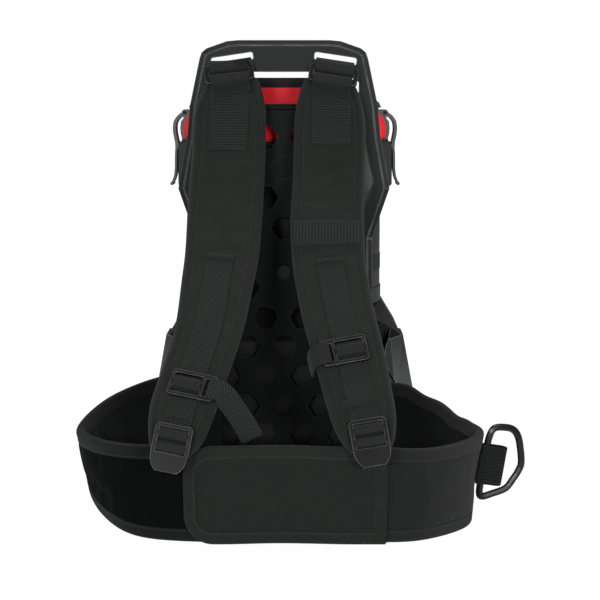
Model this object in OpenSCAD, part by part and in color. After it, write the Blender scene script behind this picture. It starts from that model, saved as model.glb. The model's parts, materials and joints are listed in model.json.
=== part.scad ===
// Backpack blower: a canister machine on a flared base, carried on a moulded harness frame.
// +X is right as seen from the wearer's side, -Y points to the wearer, +Z is up.
// The origin is on the floor, on the canister's axis. All sizes are in millimetres.

/* [Machine] */
// Radius of the canister's cylindrical wall
canister_r = 102; // [98:0.5:104]
// Radius of the collar at the canister's mouth
collar_r = 114.5; // [110:0.5:117]
// Wall thickness of the moulded shells
wall = 3; // [2.2:0.1:4]
// Height of the base housing, where the canister stands
base_h = 230; // [220:1:240]
// Height of the canister's straight wall
canister_h = 94; // [84:1:104]
// Height of the cone below the collar
cone_h = 30; // [24:1:36]
// Height of the collar
collar_h = 46; // [40:1:50]
// Half width of the base at its foot
foot_w = 139; // [134:1:144]
// Half width of the base at its shoulder
shoulder_w = 121; // [117:1:125]
// Height of the base's shoulder
shoulder_h = 201; // [194:1:206]
// Reach of the base to the front
base_front = 112; // [108:1:118]
// Thickness of the rubber sole
sole_t = 8; // [6:1:12]

/* [Lid] */
// Height of the red ring
ring_h = 32; // [26:1:38]
// Largest radius of the red ring
ring_r = 108.7; // [106:0.1:109]
// Rise of the dome above the ring
dome_h = 24; // [18:1:30]
// Width of the carry handle
handle_w = 104; // [90:1:116]
// Lift of the handle's top above the dome
handle_rise = 8; // [6:1:14]

/* [Fan and motor] */
// Radius of the fan wheel
fan_r = 72; // [60:1:76]
// Number of fan blades
fan_blades = 11; // [7:1:15]
// Radius of the motor case
motor_r = 31; // [26:1:36]
// Radius of the motor shaft
shaft_r = 4; // [3:0.5:5]
// Radius of the air outlet's bore
outlet_bore_r = 28; // [24:0.5:30]
// Number of pleats in the filter
pleats = 36; // [24:1:48]

/* [Battery] */
// Width of the battery pack
battery_w = 76; // [70:1:82]
// Height of the battery pack
battery_h = 118; // [108:1:124]
// Depth of the battery pack
battery_d = 62; // [54:1:70]

/* [Harness frame] */
// Height of the frame's top edge
frame_h = 502; // [494:1:510]
// Thickness of the frame
frame_t = 12; // [10:0.5:14]
// Half width of the frame at its top corners
corner_x = 80; // [76:1:84]
// Half width of the frame at its widest point
elbow_x = 100; // [96:1:104]
// Half width of the vent panel
panel_w = 74; // [72:0.5:76]
// Thickness of the vent panel
panel_t = 3; // [2.4:0.1:4]
// Width of a vent hole across its corners
hex_w = 25.5; // [20:0.5:28]
// Length of each webbing slot
slot_l = 42; // [40.5:0.5:46]
// Height of each webbing slot
slot_h = 7.6; // [5.6:0.1:8]

/* [Straps] */
// Thickness of a shoulder pad
pad_t = 14; // [10:0.5:16]
// Thickness of all webbing
web_t = 2; // [1.4:0.1:2.4]
// Width of the upper webbing
top_web_w = 38; // [34:0.5:39]
// Width of the lower webbing
low_web_w = 25; // [20:0.5:26]
// Thickness of the slide buckles and ladder locks
buckle_t = 4; // [3:0.2:5]
// Padding thickness of the hip belt's wings
wing_t = 8; // [5:0.5:10]
// Thickness of the hip belt's flap
flap_t = 5; // [3:0.5:7]
// Radius of the tool ring's bar
ring_bar_r = 3.5; // [2.5:0.25:4.5]

/* [Hidden] */
$fn = 64;

// clearances
soft_gap = 0.3;   // between soft pieces, and between them and what carries them
fit_gap = 0.05;   // running fit, on the radius
seat_gap = 0.2;   // between rigid pieces that only lie side by side

// heights of the machine
shell_z = sole_t;                                // underside of the base housing
canister_z = base_h;
cone_z = canister_z + canister_h;
collar_z = cone_z + cone_h;
mouth_z = collar_z + collar_h;                   // top of the collar
seal_t = 2;
ring_z = mouth_z + seal_t;                       // underside of the red ring
ring_top = ring_z + ring_h;
dome_top = ring_top + dome_h;

// the harness frame's face, and the base housing's back which lies against the frame
saddle_t = 21.5;
face_y = -(collar_r + saddle_t);
frame_back_y = face_y + frame_t;

// heights of the fan section inside the base
fan_z = base_h - 58;         // underside of the fan's back plate
fan_h = 26;
volute_z = fan_z - 8;
volute_h = fan_h + 16;
volute_r = fan_r + 14;
motor_z = base_h - 152;
motor_h = volute_z - motor_z - 6;

// ---------------------------------------------------------------- helpers

function unit(v) = v / norm(v);
function mix(a, b, t) = a + (b - a) * t;

// point on a smooth curve through the points p; t runs from 0 to len(p) - 1
function curve_at(p, t) =
    let (last = len(p) - 1, i = max(0, min(last - 1, floor(t))), u = t - i,
         b = p[i], c = p[i + 1],
         a = i > 0 ? p[i - 1] : 2 * b - c,
         d = i + 2 <= last ? p[i + 2] : 2 * c - b)
    0.5 * (2 * b + (c - a) * u + (2 * a - 5 * b + 4 * c - d) * u * u
        + (3 * b - a - 3 * c + d) * u * u * u);

// direction of that curve at t
function heading(p, t) =
    let (last = len(p) - 1, e = 0.05)
    unit(curve_at(p, min(last, t + e)) - curve_at(p, max(0, t - e)));

// section of a soft strip: u across, h through its thickness, corners cut by r
function strip_section(u0, u1, h0, h1, r) = [[u0 + r, h0], [u1 - r, h0], [u1, h0 + r], [u1, h1 - r],
    [u1 - r, h1], [u0 + r, h1], [u0, h1 - r], [u0, h0 + r]];

// skin over a list of rings of points, each ring counter-clockwise seen from the last one
module loft(rings) {
    n = len(rings[0]);
    m = len(rings);
    polyhedron(
        points = [for (r = rings) each r],
        faces = [
            [for (i = [0 : n - 1]) i],
            for (j = [0 : m - 2], i = [0 : n - 1])
                [j * n + i, (j + 1) * n + i, (j + 1) * n + (i + 1) % n],
            for (j = [0 : m - 2], i = [0 : n - 1])
                [j * n + i, (j + 1) * n + (i + 1) % n, j * n + (i + 1) % n],
            [for (i = [n - 1 : -1 : 0]) (m - 1) * n + i]
        ]);
}

// strip of webbing along the points p, with its width along the directions lat
module ribbon(p, lat, w, t) {
    last = len(p) - 1;
    loft([for (i = [0 : last])
        let (ahead = unit(p[min(last, i + 1)] - p[min(last, i + 1) - 1]), back = unit(p[max(1, i)] - p[max(1, i) - 1]),
             dir = unit(ahead + back), across = unit(lat[i] - dir * (dir * lat[i])),
             out = cross(dir, across) / max(0.5, dir * ahead))
        [for (q = strip_section(-w / 2, w / 2, -t / 2, t / 2, t / 4)) p[i] + across * q[0] + out * q[1]]]);
}

// outline of a strip of thickness t along the corner points p, drawn in a plane
function strip_outline(p, t) =
    let (last = len(p) - 1,
         off = [for (i = [0 : last])
             let (a = unit(p[max(1, i)] - p[max(1, i) - 1]),
                  b = unit(p[min(last, i + 1)] - p[min(last, i + 1) - 1]),
                  n = unit([-(a[1] + b[1]), a[0] + b[0]]), c = n * [-a[1], a[0]])
             n * t / 2 / c])
    concat([for (i = [0 : last]) p[i] + off[i]], [for (i = [last : -1 : 0]) p[i] - off[i]]);

// extrudes an outline drawn as [y, z] over the width w, centred on x = 0
module across(w) {
    rotate([90, 0, 90]) translate([0, 0, -w / 2]) linear_extrude(w) children();
}

// extrudes an outline drawn as [x, z] from y0 to y1
module depth(y0, y1) {
    translate([0, y1, 0]) rotate([90, 0, 0]) linear_extrude(y1 - y0) children();
}

module rounded_rect(w, h, r) {
    square([w - 2 * r, h], center = true);
    square([w, h - 2 * r], center = true);
    for (x = [-1, 1], y = [-1, 1]) translate([x * (w / 2 - r), y * (h / 2 - r)]) circle(r, $fn = 32);
}

module both_sides() {
    children();
    mirror([1, 0, 0]) children();
}

// screw with a cross recess; its head faces -y and its tip points to +y
module screw(head_r, head_t, shank_r, length) {
    rotate([-90, 0, 0]) difference() {
        union() {
            cylinder(r = head_r, h = head_t, $fn = 32);
            cylinder(r = shank_r, h = length, $fn = 24);
        }
        for (a = [0, 90]) rotate(a) cube([head_r, 1, 1.6], center = true);
    }
}

// ---------------------------------------------------------------- base housing

foot_cut = 46;          // how far the front corners are cut back
back_flat = 86;         // half width of the flat back that lies on the frame
seat_w = canister_r + 1.6;
knee_h = 90;            // height up to which the base's sides are nearly upright

// one level of the base: z, half width, back, front, half width of the back flat, corner depth
function base_level(z, w, back, front, flat, g) =
    let (cut = min(foot_cut, w - 50), deep = (w - flat) * 1.5)
    [for (q = [[-flat, back - g], [flat, back - g], [(flat + w) / 2 + 4 + g / 2, back + deep * 0.42 - g / 2],
               [w + g, back + deep], [w + g, front - cut], [w - cut * 0.35 + g / 2, front - cut * 0.3 + g / 2],
               [w - cut, front + g], [cut - w, front + g],
               [cut * 0.35 - w - g / 2, front - cut * 0.3 + g / 2], [-w - g, front - cut],
               [-w - g, back + deep], [-(flat + w) / 2 - 4 - g / 2, back + deep * 0.42 - g / 2]])
        [q[0], q[1], z]];

// the base's outer form, grown by g on every side
module base_form(g, z0, z1) {
    back = frame_back_y;
    loft([
        base_level(z0, foot_w - 1, back, base_front - 2, back_flat, g),
        base_level(knee_h, foot_w, back, base_front, back_flat, g),
        base_level(shoulder_h - 64, foot_w - (foot_w - shoulder_w) * 0.29, back, base_front - 1, back_flat, g),
        base_level(shoulder_h, shoulder_w, back, base_front - 4, back_flat, g),
        base_level(z1, seat_w, -seat_w, seat_w, seat_w * 0.42, g)
    ]);
}

boss_x = 101.5;
boss_z = 208.6;
boss_r = 6;
pocket_y = face_y + 62;     // depth of the floor of the pocket beside the side cover

// outline of the pocket between the side cover and the frame, drawn as [x, z]
module pocket_outline() {
    polygon([[84, 170], [103.6, 174.7], [102.4, 189.2], [103.5, 194.7], [109.9, 209.4], [109.2, 211.7],
        [94.2, shoulder_h + 23.9], [84, shoulder_h + 23.9]]);
}

module base_body() {
    difference() {
        union() {
            difference() {
                base_form(0, shell_z, base_h);
                base_form(-wall, shell_z + wall, base_h - wall);
            }
            // thick floor behind the two side pockets
            intersection() {
                base_form(0, shell_z, base_h);
                both_sides() depth(pocket_y - 40, pocket_y + wall) offset(delta = wall) pocket_outline();
            }
            // pillars for the motor mount, on the floor
            for (a = [45 : 90 : 315]) rotate(a) translate([mount_pcd / 2, 0, shell_z])
                cylinder(r = 7, h = mount_z - shell_z, $fn = 24);
            // ledge that carries the volute
            for (a = [45 : 90 : 315]) rotate(a) translate([volute_r - 4, 0, shell_z])
                cylinder(r = 6, h = volute_z - shell_z, $fn = 24);
        }
        both_sides() depth(pocket_y - 60, pocket_y) pocket_outline();
        // way for the air from the canister into the fan
        translate([0, 0, base_h - wall - 1]) cylinder(r = inlet_r, h = wall + 2);
        // outlet, battery dock, switch and gland on the front
        translate([outlet_x, base_front - 30, outlet_z]) rotate([-90, 0, 0])
            cylinder(r = outlet_bore_r + outlet_wall + fit_gap, h = 60);
        translate([switch_x, base_front - 20, switch_z]) cube([switch_w + 0.4, 60, switch_h + 0.4], center = true);
        translate([gland_x, base_front - 30, gland_z]) rotate([-90, 0, 0]) cylinder(r = gland_r + fit_gap, h = 60);
        // vents low on both sides
        both_sides() translate([foot_w, vent_y, vent_z]) cube([40, vent_w + 0.4, vent_h + 0.4], center = true);
        // screw holes from the frame and the side bosses
        for (x = [-1, 1], z = base_screw_z) translate([x * base_screw_x, frame_back_y - 1, z])
            rotate([-90, 0, 0]) cylinder(r = 2.5 + fit_gap, h = wall + 12, $fn = 24);
    }
    // bosses of the side covers
    both_sides() translate([boss_x, pocket_y - 10, boss_z]) rotate([-90, 0, 0]) difference() {
        cylinder(r = boss_r, h = 10, $fn = 32);
        translate([0, 0, -1]) cylinder(r = 4.2, h = 5, $fn = 32);
        cylinder(r = 2 + fit_gap, h = 11, $fn = 24);
    }
}

split_y = -20;          // plane of the seam between the two shells

module base_shell_back() {
    color("#3a3c3b") intersection() {
        base_body();
        translate([-200, -300, 0]) cube([400, 300 + split_y, 400]);
    }
}

module base_shell_front() {
    color("#343635") intersection() {
        base_body();
        translate([-200, split_y, 0]) cube([400, 300, 400]);
    }
}

module base_sole() {
    color("#1a1b1b") difference() {
        loft([
            base_level(0, foot_w - 4, frame_back_y + 4, base_front - 6, back_flat - 2, 0),
            base_level(sole_t, foot_w - 1, frame_back_y, base_front - 2, back_flat, 0)
        ]);
        // grooves across the sole, clear of its middle
        for (y = [-96 : 24 : 84]) if (abs(y) > 20) translate([-140, y, -1]) cube([280, 8, 3]);
    }
}

// glossy cover on the base's side, outlined as [x, z]
module cover_outline() {
    polygon([[109.9 + seat_gap, shoulder_h + 8.2], [103.5 + seat_gap, 194.7], [102.4 + seat_gap, 189.2],
        [103.6 + seat_gap, 174.7], [117.6, 149.4], [126, 118], [150, 112], [150, shoulder_h - 2],
        [121, shoulder_h]]);
}

cover_t = 2.5;

module side_cover(side) {
    intersection() {
        difference() {
            base_form(cover_t, shell_z, base_h);
            base_form(0, shell_z, base_h);
        }
        depth(frame_back_y, split_y - 6) scale([side, 1]) cover_outline();
    }
}

module side_cover_right() {
    color("#202224") side_cover(1);
}

module side_cover_left() {
    color("#202224") side_cover(-1);
}

module housing_screws() {
    color("#8a8c8e") both_sides() translate([boss_x, pocket_y - 9.4, boss_z]) screw(3.6, 2.4, 2, 9);
}

vent_y = 36;
vent_z = 66;
vent_w = 84;
vent_h = 46;

module vent_grilles() {
    color("#161818") both_sides() intersection() {
        difference() {
            base_form(0.6, shell_z, base_h);
            base_form(-wall, shell_z, base_h);
        }
        translate([foot_w - 20, vent_y - vent_w / 2, vent_z - vent_h / 2]) {
            difference() {
                cube([40, vent_w, vent_h]);
                for (i = [0 : 4]) translate([-1, 4, 5 + i * 8]) cube([42, vent_w - 8, 4.6]);
            }
        }
    }
}

// ---------------------------------------------------------------- fan, motor and electrics

inlet_r = 44;
outlet_x = -(volute_r - outlet_bore_r - 3);
outlet_z = volute_z + volute_h / 2 + 2;
outlet_wall = 4;
mount_z = motor_z - 8;
mount_pcd = 108;

module volute() {
    color("#2b2d2c") difference() {
        union() {
            translate([0, 0, volute_z]) cylinder(r = volute_r, h = volute_h);
            translate([outlet_x, 0, outlet_z]) rotate([-90, 0, 0])
                cylinder(r = outlet_bore_r + 3, h = base_front - 24);
        }
        translate([0, 0, volute_z + wall]) cylinder(r = volute_r - wall, h = volute_h);
        translate([outlet_x, 0, outlet_z]) rotate([-90, 0, 0]) cylinder(r = outlet_bore_r, h = base_front);
        translate([0, 0, volute_z - 1]) cylinder(r = shaft_r + 4, h = 10);
        for (z = [volute_z + volute_h, volute_z - volute_h])
            translate([-2 * volute_r, -2 * volute_r, z]) cube([4 * volute_r, 4 * volute_r, volute_h]);
    }
}

module volute_cover() {
    color("#2b2d2c") difference() {
        union() {
            translate([0, 0, volute_z + volute_h]) cylinder(r = volute_r, h = wall);
            translate([0, 0, volute_z + volute_h]) cylinder(r = inlet_r - 2, h = base_h - volute_z - volute_h);
        }
        translate([0, 0, volute_z + volute_h - 1]) cylinder(r = inlet_r - 2 - wall, h = base_h);
    }
}

// fan wheel: back plate, hub, backward-curved blades and a shroud ring
module impeller() {
    hub_r = 14;
    eye_r = inlet_r - 8;
    blade_t = 2;
    color("#c9cbc8") translate([0, 0, fan_z]) difference() {
        union() {
            cylinder(r = fan_r, h = 2.4);
            cylinder(r = hub_r, h = fan_h - 6, $fn = 32);
            translate([0, 0, fan_h - 2]) difference() {
                cylinder(r = fan_r, h = 2);
                translate([0, 0, -1]) cylinder(r = eye_r, h = 4);
            }
            for (i = [0 : fan_blades - 1]) rotate(i * 360 / fan_blades) linear_extrude(fan_h - 1)
                polygon(strip_outline([for (k = [0 : 6])
                    let (r = 24 + (fan_r - 24) * k / 6, a = -38 * pow(k / 6, 1.2))
                    [r * cos(a), r * sin(a)]], blade_t));
        }
        translate([0, 0, -1]) cylinder(r = shaft_r + fit_gap, h = fan_h);
    }
}

module motor_shaft() {
    color("silver") {
        translate([0, 0, motor_z - 6]) cylinder(r = shaft_r, h = fan_z + fan_h - 4 - motor_z);
        translate([0, 0, motor_z + 16]) cylinder(r = motor_r - wall - 1, h = motor_h - 32);
    }
}

module motor_case() {
    bearing_r = shaft_r + 7;
    color("#6f7274") translate([0, 0, motor_z]) difference() {
        cylinder(r = motor_r, h = motor_h);
        translate([0, 0, wall]) cylinder(r = motor_r - wall, h = motor_h - 2 * wall);
        translate([0, 0, -1]) cylinder(r = bearing_r + fit_gap, h = motor_h + 2);
        for (a = [0 : 30 : 330]) rotate(a) translate([motor_r - 6, 0, motor_h - wall - 1])
            cylinder(r = 2, h = wall + 2, $fn = 16);
    }
}

module motor_bearings() {
    bearing_r = shaft_r + 7;
    color("#b8babc") for (z = [motor_z, motor_z + motor_h - 7]) translate([0, 0, z]) difference() {
        cylinder(r = bearing_r, h = 7, $fn = 48);
        translate([0, 0, -1]) cylinder(r = shaft_r + fit_gap, h = 9, $fn = 48);
    }
}

module motor_mount() {
    color("#1f2121") difference() {
        union() {
            translate([0, 0, mount_z]) cylinder(r = motor_r + 8, h = 8);
            for (a = [45 : 90 : 315]) rotate(a) translate([motor_r, -6, mount_z]) cube([mount_pcd / 2 - motor_r, 12, 5]);
            for (a = [45 : 90 : 315]) rotate(a) translate([mount_pcd / 2, 0, mount_z]) cylinder(r = 7, h = 5, $fn = 24);
            translate([0, 0, mount_z]) difference() {
                cylinder(r = motor_r + 4, h = 20);
                cylinder(r = motor_r + seat_gap, h = 21);
            }
        }
        translate([0, 0, mount_z - 1]) cylinder(r = shaft_r + 8, h = 10);
    }
}

module control_board() {
    color("#1f5f3a") translate([-40, base_front - 40, shell_z + wall]) {
        cube([70, 1.6, 52]);
        for (x = [8, 30, 52]) translate([x, 1.6, 8]) cube([10, 8, 14]);
        for (x = [10, 26, 42, 58]) translate([x, 0, 38]) rotate([90, 0, 0]) cylinder(r = 5, h = 11, $fn = 24);
    }
}

collar_len = 26;
elbow_bend_r = 38;
elbow_r = outlet_bore_r + 3.5;
elbow_y = base_front + 6;

module outlet_collar() {
    color("#1b1d1d") translate([outlet_x, base_front - 22, outlet_z]) rotate([-90, 0, 0]) difference() {
        union() {
            cylinder(r = outlet_bore_r + outlet_wall, h = collar_len + 14);
            translate([0, 0, 22]) cylinder(r = outlet_bore_r + outlet_wall + 4, h = 5);
        }
        translate([0, 0, -1]) cylinder(r = outlet_bore_r, h = 24);
        translate([0, 0, 12]) cylinder(r = outlet_bore_r + outlet_wall - 2, h = collar_len + 14);
    }
}

// swivel elbow: sleeve in the collar, quarter bend and a socket for the blow tube
module outlet_elbow() {
    sleeve_r = outlet_bore_r + outlet_wall - 2 - fit_gap;
    color("#232525") translate([outlet_x, elbow_y, outlet_z]) {
        difference() {
            union() {
                rotate([-90, 0, 0]) translate([0, 0, -15]) cylinder(r = sleeve_r, h = 29);
                rotate([-90, 0, 0]) translate([0, 0, 12.4]) cylinder(r = elbow_r + 3, h = 6);
                translate([-elbow_bend_r, 18, 0]) rotate_extrude(angle = 90) translate([elbow_bend_r, 0])
                    circle(elbow_r, $fn = 48);
                translate([-elbow_bend_r, 18 + elbow_bend_r, 0]) rotate([0, -90, 0]) {
                    cylinder(r = elbow_r, h = 22);
                    translate([0, 0, 14]) cylinder(r = elbow_r + 2.5, h = 8);
                }
            }
            rotate([-90, 0, 0]) translate([0, 0, -16]) cylinder(r = sleeve_r - 2.5, h = 34.1);
            translate([-elbow_bend_r, 18, 0]) rotate_extrude(angle = 90) translate([elbow_bend_r, 0])
                circle(sleeve_r - 2.5, $fn = 48);
            translate([-elbow_bend_r + 0.1, 18 + elbow_bend_r, 0]) rotate([0, -90, 0])
                cylinder(r = outlet_bore_r, h = 30);
        }
    }
}

battery_x = 44;
battery_z = 26;             // underside of the battery
battery_y = base_front + 6; // back of the battery, against the dock
rail_w = 8;

// dock plate on the base's front with two rails and a foot stop
module battery_dock() {
    color("#1b1d1d") translate([battery_x, 0, 0]) {
        difference() {
            translate([-battery_w / 2, base_front - 1, battery_z - 8]) cube([battery_w, 6, battery_h + 12]);
            base_form(0, shell_z, base_h);
            translate([-battery_x, 0, 0]) base_form(0.02, shell_z, base_h);
        }
        for (x = [-1, 1]) translate([x * (battery_w / 2 - 14) - rail_w / 2, base_front + 4, battery_z])
            cube([rail_w, 8, battery_h - 16]);
        translate([-battery_w / 2, base_front + 4, battery_z - 8]) cube([battery_w, battery_d - 6, 7.8]);
    }
}

module battery_pack() {
    side = 0.3;
    color("#2a2c2c") translate([battery_x, battery_y, battery_z]) difference() {
        union() {
            translate([0, battery_d / 2 - 0.4, battery_h / 2]) rotate([90, 0, 0]) translate([0, 0, -battery_d / 2])
                linear_extrude(battery_d - 0.8) rounded_rect(battery_w, battery_h, 8);
            for (z = [14 : 12 : battery_h - 40]) translate([-battery_w / 2 + 10, battery_d - 1.6, z])
                cube([battery_w - 20, 2.4, 4]);
        }
        // channels that run on the dock's rails
        for (x = [-1, 1]) translate([x * (battery_w / 2 - 14) - rail_w / 2 - side, -1, -1])
            cube([rail_w + 2 * side, 7 + side, battery_h - 14]);
        // sockets of the release buttons
        for (x = [-1, 1]) translate([x * battery_w / 2, battery_d / 2, battery_h - 22]) rotate([0, 90, 0])
            translate([0, 0, -12]) cylinder(r = button_r + fit_gap, h = 24, $fn = 48);
    }
}

button_r = 9;

module battery_button() {
    color("#c0202c") translate([battery_w / 2 - 9, battery_d / 2, battery_h - 22]) rotate([0, 90, 0]) {
        cylinder(r = button_r, h = 9.5, $fn = 48);
        for (a = [-5 : 2.5 : 5]) translate([a - 0.5, -6, 9.5]) cube([1, 12, 0.8]);
    }
}

module battery_button_right() {
    translate([battery_x, battery_y, battery_z]) battery_button();
}

module battery_button_left() {
    translate([battery_x, battery_y, battery_z]) mirror([1, 0, 0]) battery_button();
}

switch_x = 40;
switch_z = 176;
switch_w = 30;
switch_h = 20;

switch_y = base_front - 9;      // axis of the rocker

// rocker with two faces in a bezel on the base's front, its lower half proud
module power_switch() {
    color("#b81f2b") translate([switch_x, switch_y, switch_z]) across(switch_w - 0.2)
        polygon([[-4, -5], [6, -8.2], [11.4, -8], [8.4, 0], [6.6, 7.4], [-4, 5]]);
}

gland_x = -14;
gland_z = 118;
gland_r = 8;

module cable_gland() {
    color("#111212") translate([gland_x, base_front - 8, gland_z]) rotate([-90, 0, 0]) difference() {
        union() {
            cylinder(r = gland_r, h = 8, $fn = 32);
            translate([0, 0, 8]) cylinder(r = gland_r + 3, h = 4, $fn = 6);
            translate([0, 0, 12]) cylinder(r1 = gland_r, r2 = gland_r - 2.5, h = 9, $fn = 32);
        }
        translate([0, 0, -1]) cylinder(r = 3.5, h = 30, $fn = 24);
    }
}

// ---------------------------------------------------------------- canister and filter

band_z = base_h + 34.6;
band_h = 16;
band_in = 1.2;              // depth of the band's groove

module canister() {
    latch_w = latch_width + 5;
    color("#2c2e2d") difference() {
        rotate_extrude($fn = 96) difference() {
            polygon([[0, canister_z], [canister_r + 1, canister_z], [canister_r + 1, canister_z + 16],
                [canister_r, canister_z + 17], [canister_r, band_z], [canister_r - band_in, band_z],
                [canister_r - band_in, band_z + band_h], [canister_r, band_z + band_h],
                [canister_r, cone_z], [collar_r - 4, collar_z - 4], [collar_r, collar_z],
                [collar_r, mouth_z - 3], [collar_r - 2, mouth_z], [0, mouth_z]]);
            polygon([[-1, canister_z + wall + 1], [canister_r - wall - band_in, canister_z + wall + 1],
                [canister_r - wall - band_in, cone_z], [collar_r - wall - 4, collar_z],
                [collar_r - wall - 6, collar_z + 4], [collar_r - wall - 6, mouth_z + 1], [-1, mouth_z + 1]]);
        }
        translate([0, 0, canister_z - 1]) cylinder(r = inlet_r - 1.8, h = wall + 3);
        // pockets for the toes of the latches, open at the top
        both_sides() translate([toe_x - 0.6, -latch_w / 2, latch_toe_z - 8])
            cube([30, latch_w, mouth_z - latch_toe_z + 14]);
        // seat of the middle bolt
        translate([0, -canister_r - 1, bolt_z]) rotate([-90, 0, 0]) cylinder(r = 3 + fit_gap, h = 10, $fn = 32);
    }
}

module canister_band() {
    color("#050606") difference() {
        translate([0, 0, band_z + seat_gap]) rotate_extrude($fn = 96)
            translate([canister_r - band_in + fit_gap, 0]) square([band_in + 0.4, band_h - 2 * seat_gap]);
        translate([0, -canister_r - 5, bolt_z]) rotate([-90, 0, 0]) cylinder(r = 3 + fit_gap, h = 20, $fn = 32);
    }
}

filter_r = 66;
filter_z = canister_z + wall + 1;
filter_h = mouth_z - filter_z - 26;

// perforated core tube with a foot flange on the canister's floor
module filter_core() {
    core_r = inlet_r + 2;
    color("#d8d8d2") difference() {
        union() {
            translate([0, 0, filter_z]) cylinder(r = filter_r + 3, h = 4);
            translate([0, 0, filter_z]) cylinder(r = core_r, h = filter_h);
        }
        translate([0, 0, filter_z - 1]) cylinder(r = core_r - 2.5, h = filter_h + 2);
        for (z = [0 : 3], a = [0 : 45 : 135]) translate([0, 0, filter_z + 18 + z * filter_h / 4.4])
            rotate([90, 0, a + (z % 2) * 22.5]) cylinder(r = 6, h = 200, center = true, $fn = 6);
    }
}

// star-folded filter medium
module filter_pleats() {
    inner = inlet_r + 2.3;
    color("#e9e6da") translate([0, 0, filter_z + 4]) linear_extrude(filter_h - 4) difference() {
        polygon([for (i = [0 : 2 * pleats - 1])
            (i % 2 == 0 ? filter_r : inner + 3) * [cos(i * 180 / pleats), sin(i * 180 / pleats)]]);
        polygon([for (i = [0 : 2 * pleats - 1])
            (i % 2 == 0 ? filter_r - 3.4 : inner) * [cos(i * 180 / pleats), sin(i * 180 / pleats)]]);
    }
}

module filter_cap() {
    color("#1c1d1d") translate([0, 0, filter_z + filter_h]) {
        cylinder(r = filter_r + 3, h = 4);
        translate([0, 0, 4]) cylinder(r = 14, h = 8, $fn = 32);
        for (a = [0 : 60 : 300]) rotate(a) translate([12, -2, 4]) cube([filter_r - 16, 4, 4]);
    }
}

// ---------------------------------------------------------------- lid and latches

clip_r = 111.2;             // outer reach of the black clips on the lid's sides
latch_width = 24;
latch_t = 3.6;
hinge_x = 106;
hinge_z = ring_top - 4;
toe_x = 110.6;
latch_toe_z = mouth_z - 6;
pin_r = 1.8;
well_x = handle_w / 2 - 6;  // half width of the well under the handle
handle_y = -68;
handle_d = 24;

module lid_seal() {
    color("#0c0d0d") translate([0, 0, mouth_z]) rotate_extrude($fn = 96)
        translate([collar_r - wall - 6, 0]) square([5, seal_t]);
}

module lid_ring() {
    color("#d8222f") difference() {
        rotate_extrude($fn = 96) polygon([[ring_r - 13, ring_z], [ring_r - 2, ring_z],
            [ring_r - 0.3, ring_z + 3], [ring_r, ring_z + 12], [ring_r - 1.6, ring_z + 19],
            [ring_r - 5.2, ring_z + 25.5], [ring_r - 9, ring_top - 2], [ring_r - 13, ring_top]]);
        both_sides() clip_space(0.2);
    }
}

// the room that a side clip takes in the red ring
module clip_space(g) {
    translate([ring_r - 14, -latch_width / 2 - 3 - g, ring_z - 5])
        cube([30, latch_width + 6 + 2 * g, ring_h + 10]);
}

// outline of a side clip, drawn as [x, z]; it grows out of the dome's skirt
module clip_outline() {
    polygon([[ring_r - 14, ring_z], [clip_r - 2, ring_z], [clip_r - 0.4, ring_z + 6], [clip_r, ring_z + 12],
        [clip_r - 0.8, ring_z + 19], [hinge_x + 1.4, hinge_z - 5.6], [hinge_x - 5.6, hinge_z - 4],
        [hinge_x - 7, ring_top + 3], [ring_r - 14, ring_top + 3]]);
}

// outline of a hinge ear, drawn as [x, z]
module ear_outline() {
    translate([hinge_x, hinge_z]) circle(3.6, $fn = 32);
    polygon([[hinge_x + 3.4, hinge_z], [hinge_x + 1.4, hinge_z - 6.4], [hinge_x - 9, hinge_z - 6.4],
        [hinge_x - 9, hinge_z + 3.5], [hinge_x, hinge_z + 3.5]]);
}

module lid_dome() {
    color("#191b1b") difference() {
        union() {
            rotate_extrude($fn = 96) difference() {
                polygon([[0, ring_z], [ring_r - 13.2, ring_z], [ring_r - 13.2, ring_top + 0.4],
                    [ring_r - 6, ring_top + 1.6], [ring_r - 8.5, ring_top + 7], [ring_r - 15, ring_top + 12],
                    [ring_r - 30, ring_top + 17.5], [ring_r - 48, dome_top - 2], [ring_r - 60, dome_top],
                    [0, dome_top]]);
                polygon([[-1, ring_z - 1], [ring_r - 16.2, ring_z - 1], [ring_r - 16.2, ring_top + 5],
                    [ring_r - 32, ring_top + 14], [ring_r - 50, dome_top - 5.5], [-1, dome_top - wall]]);
            }
            both_sides() {
                depth(-latch_width / 2 - 3, latch_width / 2 + 3) clip_outline();
                for (y = [-latch_width / 2 - 3, latch_width / 2 + seat_gap]) depth(y, y + 3 - seat_gap) ear_outline();
            }
            // tub of the handle's well
            intersection() {
                translate([-well_x - wall, -ring_r + 14, ring_z + 12])
                    cube([2 * (well_x + wall), ring_r - 14 + handle_y + 30 + wall, 60]);
                rotate_extrude($fn = 96) polygon([[0, ring_z], [ring_r - 14, ring_z], [ring_r - 14, ring_top + 4],
                    [ring_r - 34, ring_top + 15], [ring_r - 52, dome_top - 4], [0, dome_top - 1]]);
            }
        }
        translate([-well_x, -ring_r - 10, ring_top + 4]) cube([2 * well_x, 60, 60]);
        translate([-well_x, -ring_r + 18, ring_z + 15]) cube([2 * well_x, ring_r - 18 + handle_y + 30, 80]);
        both_sides() translate([hinge_x, 0, hinge_z]) rotate([90, 0, 0])
            cylinder(r = pin_r + fit_gap, h = 60, center = true, $fn = 32);
        translate([0, grille_y, dome_top - wall - 3]) cylinder(r = grille_r, h = 30);
    }
}

grille_y = 14;
grille_r = 44;

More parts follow.
